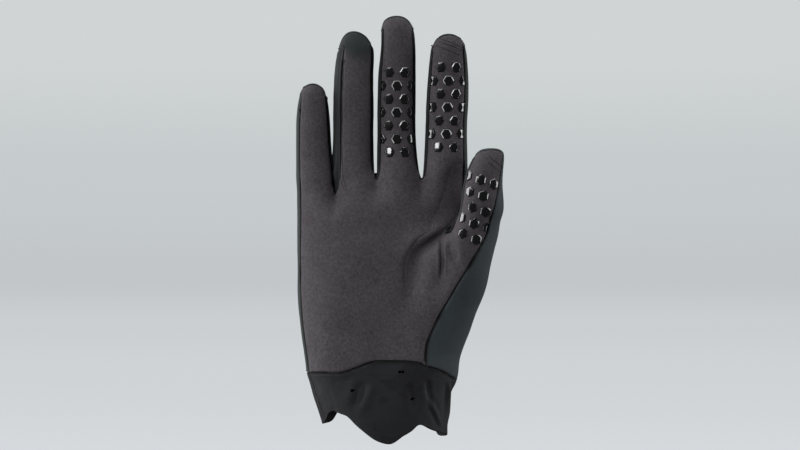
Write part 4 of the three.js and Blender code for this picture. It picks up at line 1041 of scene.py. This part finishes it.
def stage():
    """A sheet of pale paper: floor, a round rise behind the glove, and the wall."""
    bm = bmesh.new()
    bmesh.ops.create_grid(bm, x_segments=1, y_segments=1, size=1,
                          matrix=Matrix.Diagonal((PAPER_HALF, PAPER_HALF, 1, 1)))
    for vert in bm.verts:
        vert.co.y = min(vert.co.y, SWEEP_START)
        vert.co.z = FLOOR
    back = [e for e in bm.edges if all(v.co.y > 0 for v in e.verts)]
    ends = bmesh.ops.spin(bm, geom=back + list(back[0].verts), cent=(0, SWEEP_START, FLOOR + SWEEP_RADIUS),
                          axis=(1, 0, 0), angle=math.pi / 2, steps=32, use_merge=False)["geom_last"]
    wall = bmesh.ops.extrude_edge_only(bm, edges=[g for g in ends if isinstance(g, bmesh.types.BMEdge)])["geom"]
    bmesh.ops.translate(bm, verts=[g for g in wall if isinstance(g, bmesh.types.BMVert)], vec=(0, 0, SWEEP_TOP))
    bmesh.ops.recalc_face_normals(bm, faces=bm.faces[:])
    paper = new_object("studio_paper", bm)
    paper.data.materials.append(paper_material())
    paper.visible_diffuse = False
    paper.visible_glossy = False
    paper.visible_shadow = False


LIT_PLACE = Vector((0.01, 0, 0.08))     # what every light is turned to
SKY = (0.95, 0.98, 1.0, 1)
SKY_STRENGTH = 0.07
# Area lights: place and size in metres, power in watts
LIGHTS = {
    "left_box": {"at": (-1.5, -0.15, 0.1), "size": (1.0, 2.0), "power": 38},
    "front_left": {"at": (-1.2, -1.5, 0.9), "size": (0.9, 0.9), "power": 28},
    "right_box": {"at": (1.5, -0.1, 0.2), "size": (0.8, 1.4), "power": 20},
    "overhead": {"at": (0.0, -0.2, 1.7), "size": (1.6, 1.2), "power": 18},
}


def lights():
    for name, look in LIGHTS.items():
        light = bpy.data.lights.new(name, "AREA")
        light.shape = "RECTANGLE"
        light.size, light.size_y = look["size"]
        light.energy = look["power"]
        obj = bpy.data.objects.new(name, light)
        place = Vector(look["at"])
        obj.location = place
        obj.rotation_euler = (LIT_PLACE - place).to_track_quat("-Z", "Y").to_euler()
        bpy.context.scene.collection.objects.link(obj)
    world = bpy.data.worlds.new("studio")
    world.use_nodes = True
    sky = world.node_tree.nodes["Background"]
    sky.inputs["Color"].default_value = SKY
    sky.inputs["Strength"].default_value = SKY_STRENGTH
    bpy.context.scene.world = world
    bpy.context.scene.view_settings.view_transform = "Standard"


# Camera: level, square on to the palm, far enough for a flat view
LENS = 135
SENSOR = 36
FRAME_WIDTH = 0.4344            # what the picture spans at the glove
CAMERA_X = 0.0095
CAMERA_Z = 0.0793


def camera():
    cam = bpy.data.cameras.new("camera")
    cam.lens = LENS
    cam.sensor_width = SENSOR
    obj = bpy.data.objects.new("camera", cam)
    obj.location = (CAMERA_X, -FRAME_WIDTH * LENS / SENSOR, CAMERA_Z)
    obj.rotation_euler = (math.pi / 2, 0, 0)
    bpy.context.scene.collection.objects.link(obj)
    bpy.context.scene.camera = obj


# Where each fingertip is looked for: from and to across the front view, in millimetres
TIP_SPANS = {"pinky": (-45, -30), "ring": (-26, -6), "middle": (-2, 20), "index": (26, 46), "thumb": (54, 70)}


def tip_of(skin, low, high):
    """The highest point of the skin between two places across."""
    return max((v.co for v in skin.verts if low * MM < v.co.x < high * MM), key=lambda co: co.z).copy()


ONE_STITCH = one_stitch()
SHARED = {"tone": tone_group(), "nap": nap_group(), "mottle": mottle_group(), "knit": knit_group()}
skin = smoothed(sewn_skin(), FINENESS)
FINGERTIPS = {name: tip_of(skin, *span) for name, span in TIP_SPANS.items()}
WEBS = {name: web_place(skin, name) for name in WEB_RISES}
SHALLOWS = Shallows(skin)
# where the painted shade of the ring fingertip is centred, and how far it reaches
RING_TIP_FADE = FINGERTIPS["ring"] + Vector((3, -6, -3)) * MM
RING_FADE_REACH = 16 * MM
MATERIALS = {name: cloth_material(name, look) for name, look in LOOKS.items()}
MATERIALS["silicone"] = silicone_material()
MATERIALS["thread"] = thread_material()

camera()
stage()
lights()
soften(skin)
push(skin)
raise_webs(skin)
skin.normal_update()
relax(skin)
# the layer of painted shade in the folds
skin.verts.layers.float.new("painted_fold_shade")
hollow_beside_thumb(skin)
press_creases(skin, CREASES + CUFF_FOLDS)
sew_grooves(skin)
skin.normal_update()
skin.verts.index_update()
for name in PANELS:
    panel = cut_panel(skin, name)
    give_wall(panel, CLOTH)
    if name == "cuff_front":
        cut_slots(panel)
seam_threads(skin)
cloth_tree = BVHTree.FromBMesh(skin)
tip_threads(cloth_tree)
grips(cloth_tree)
skin.free()
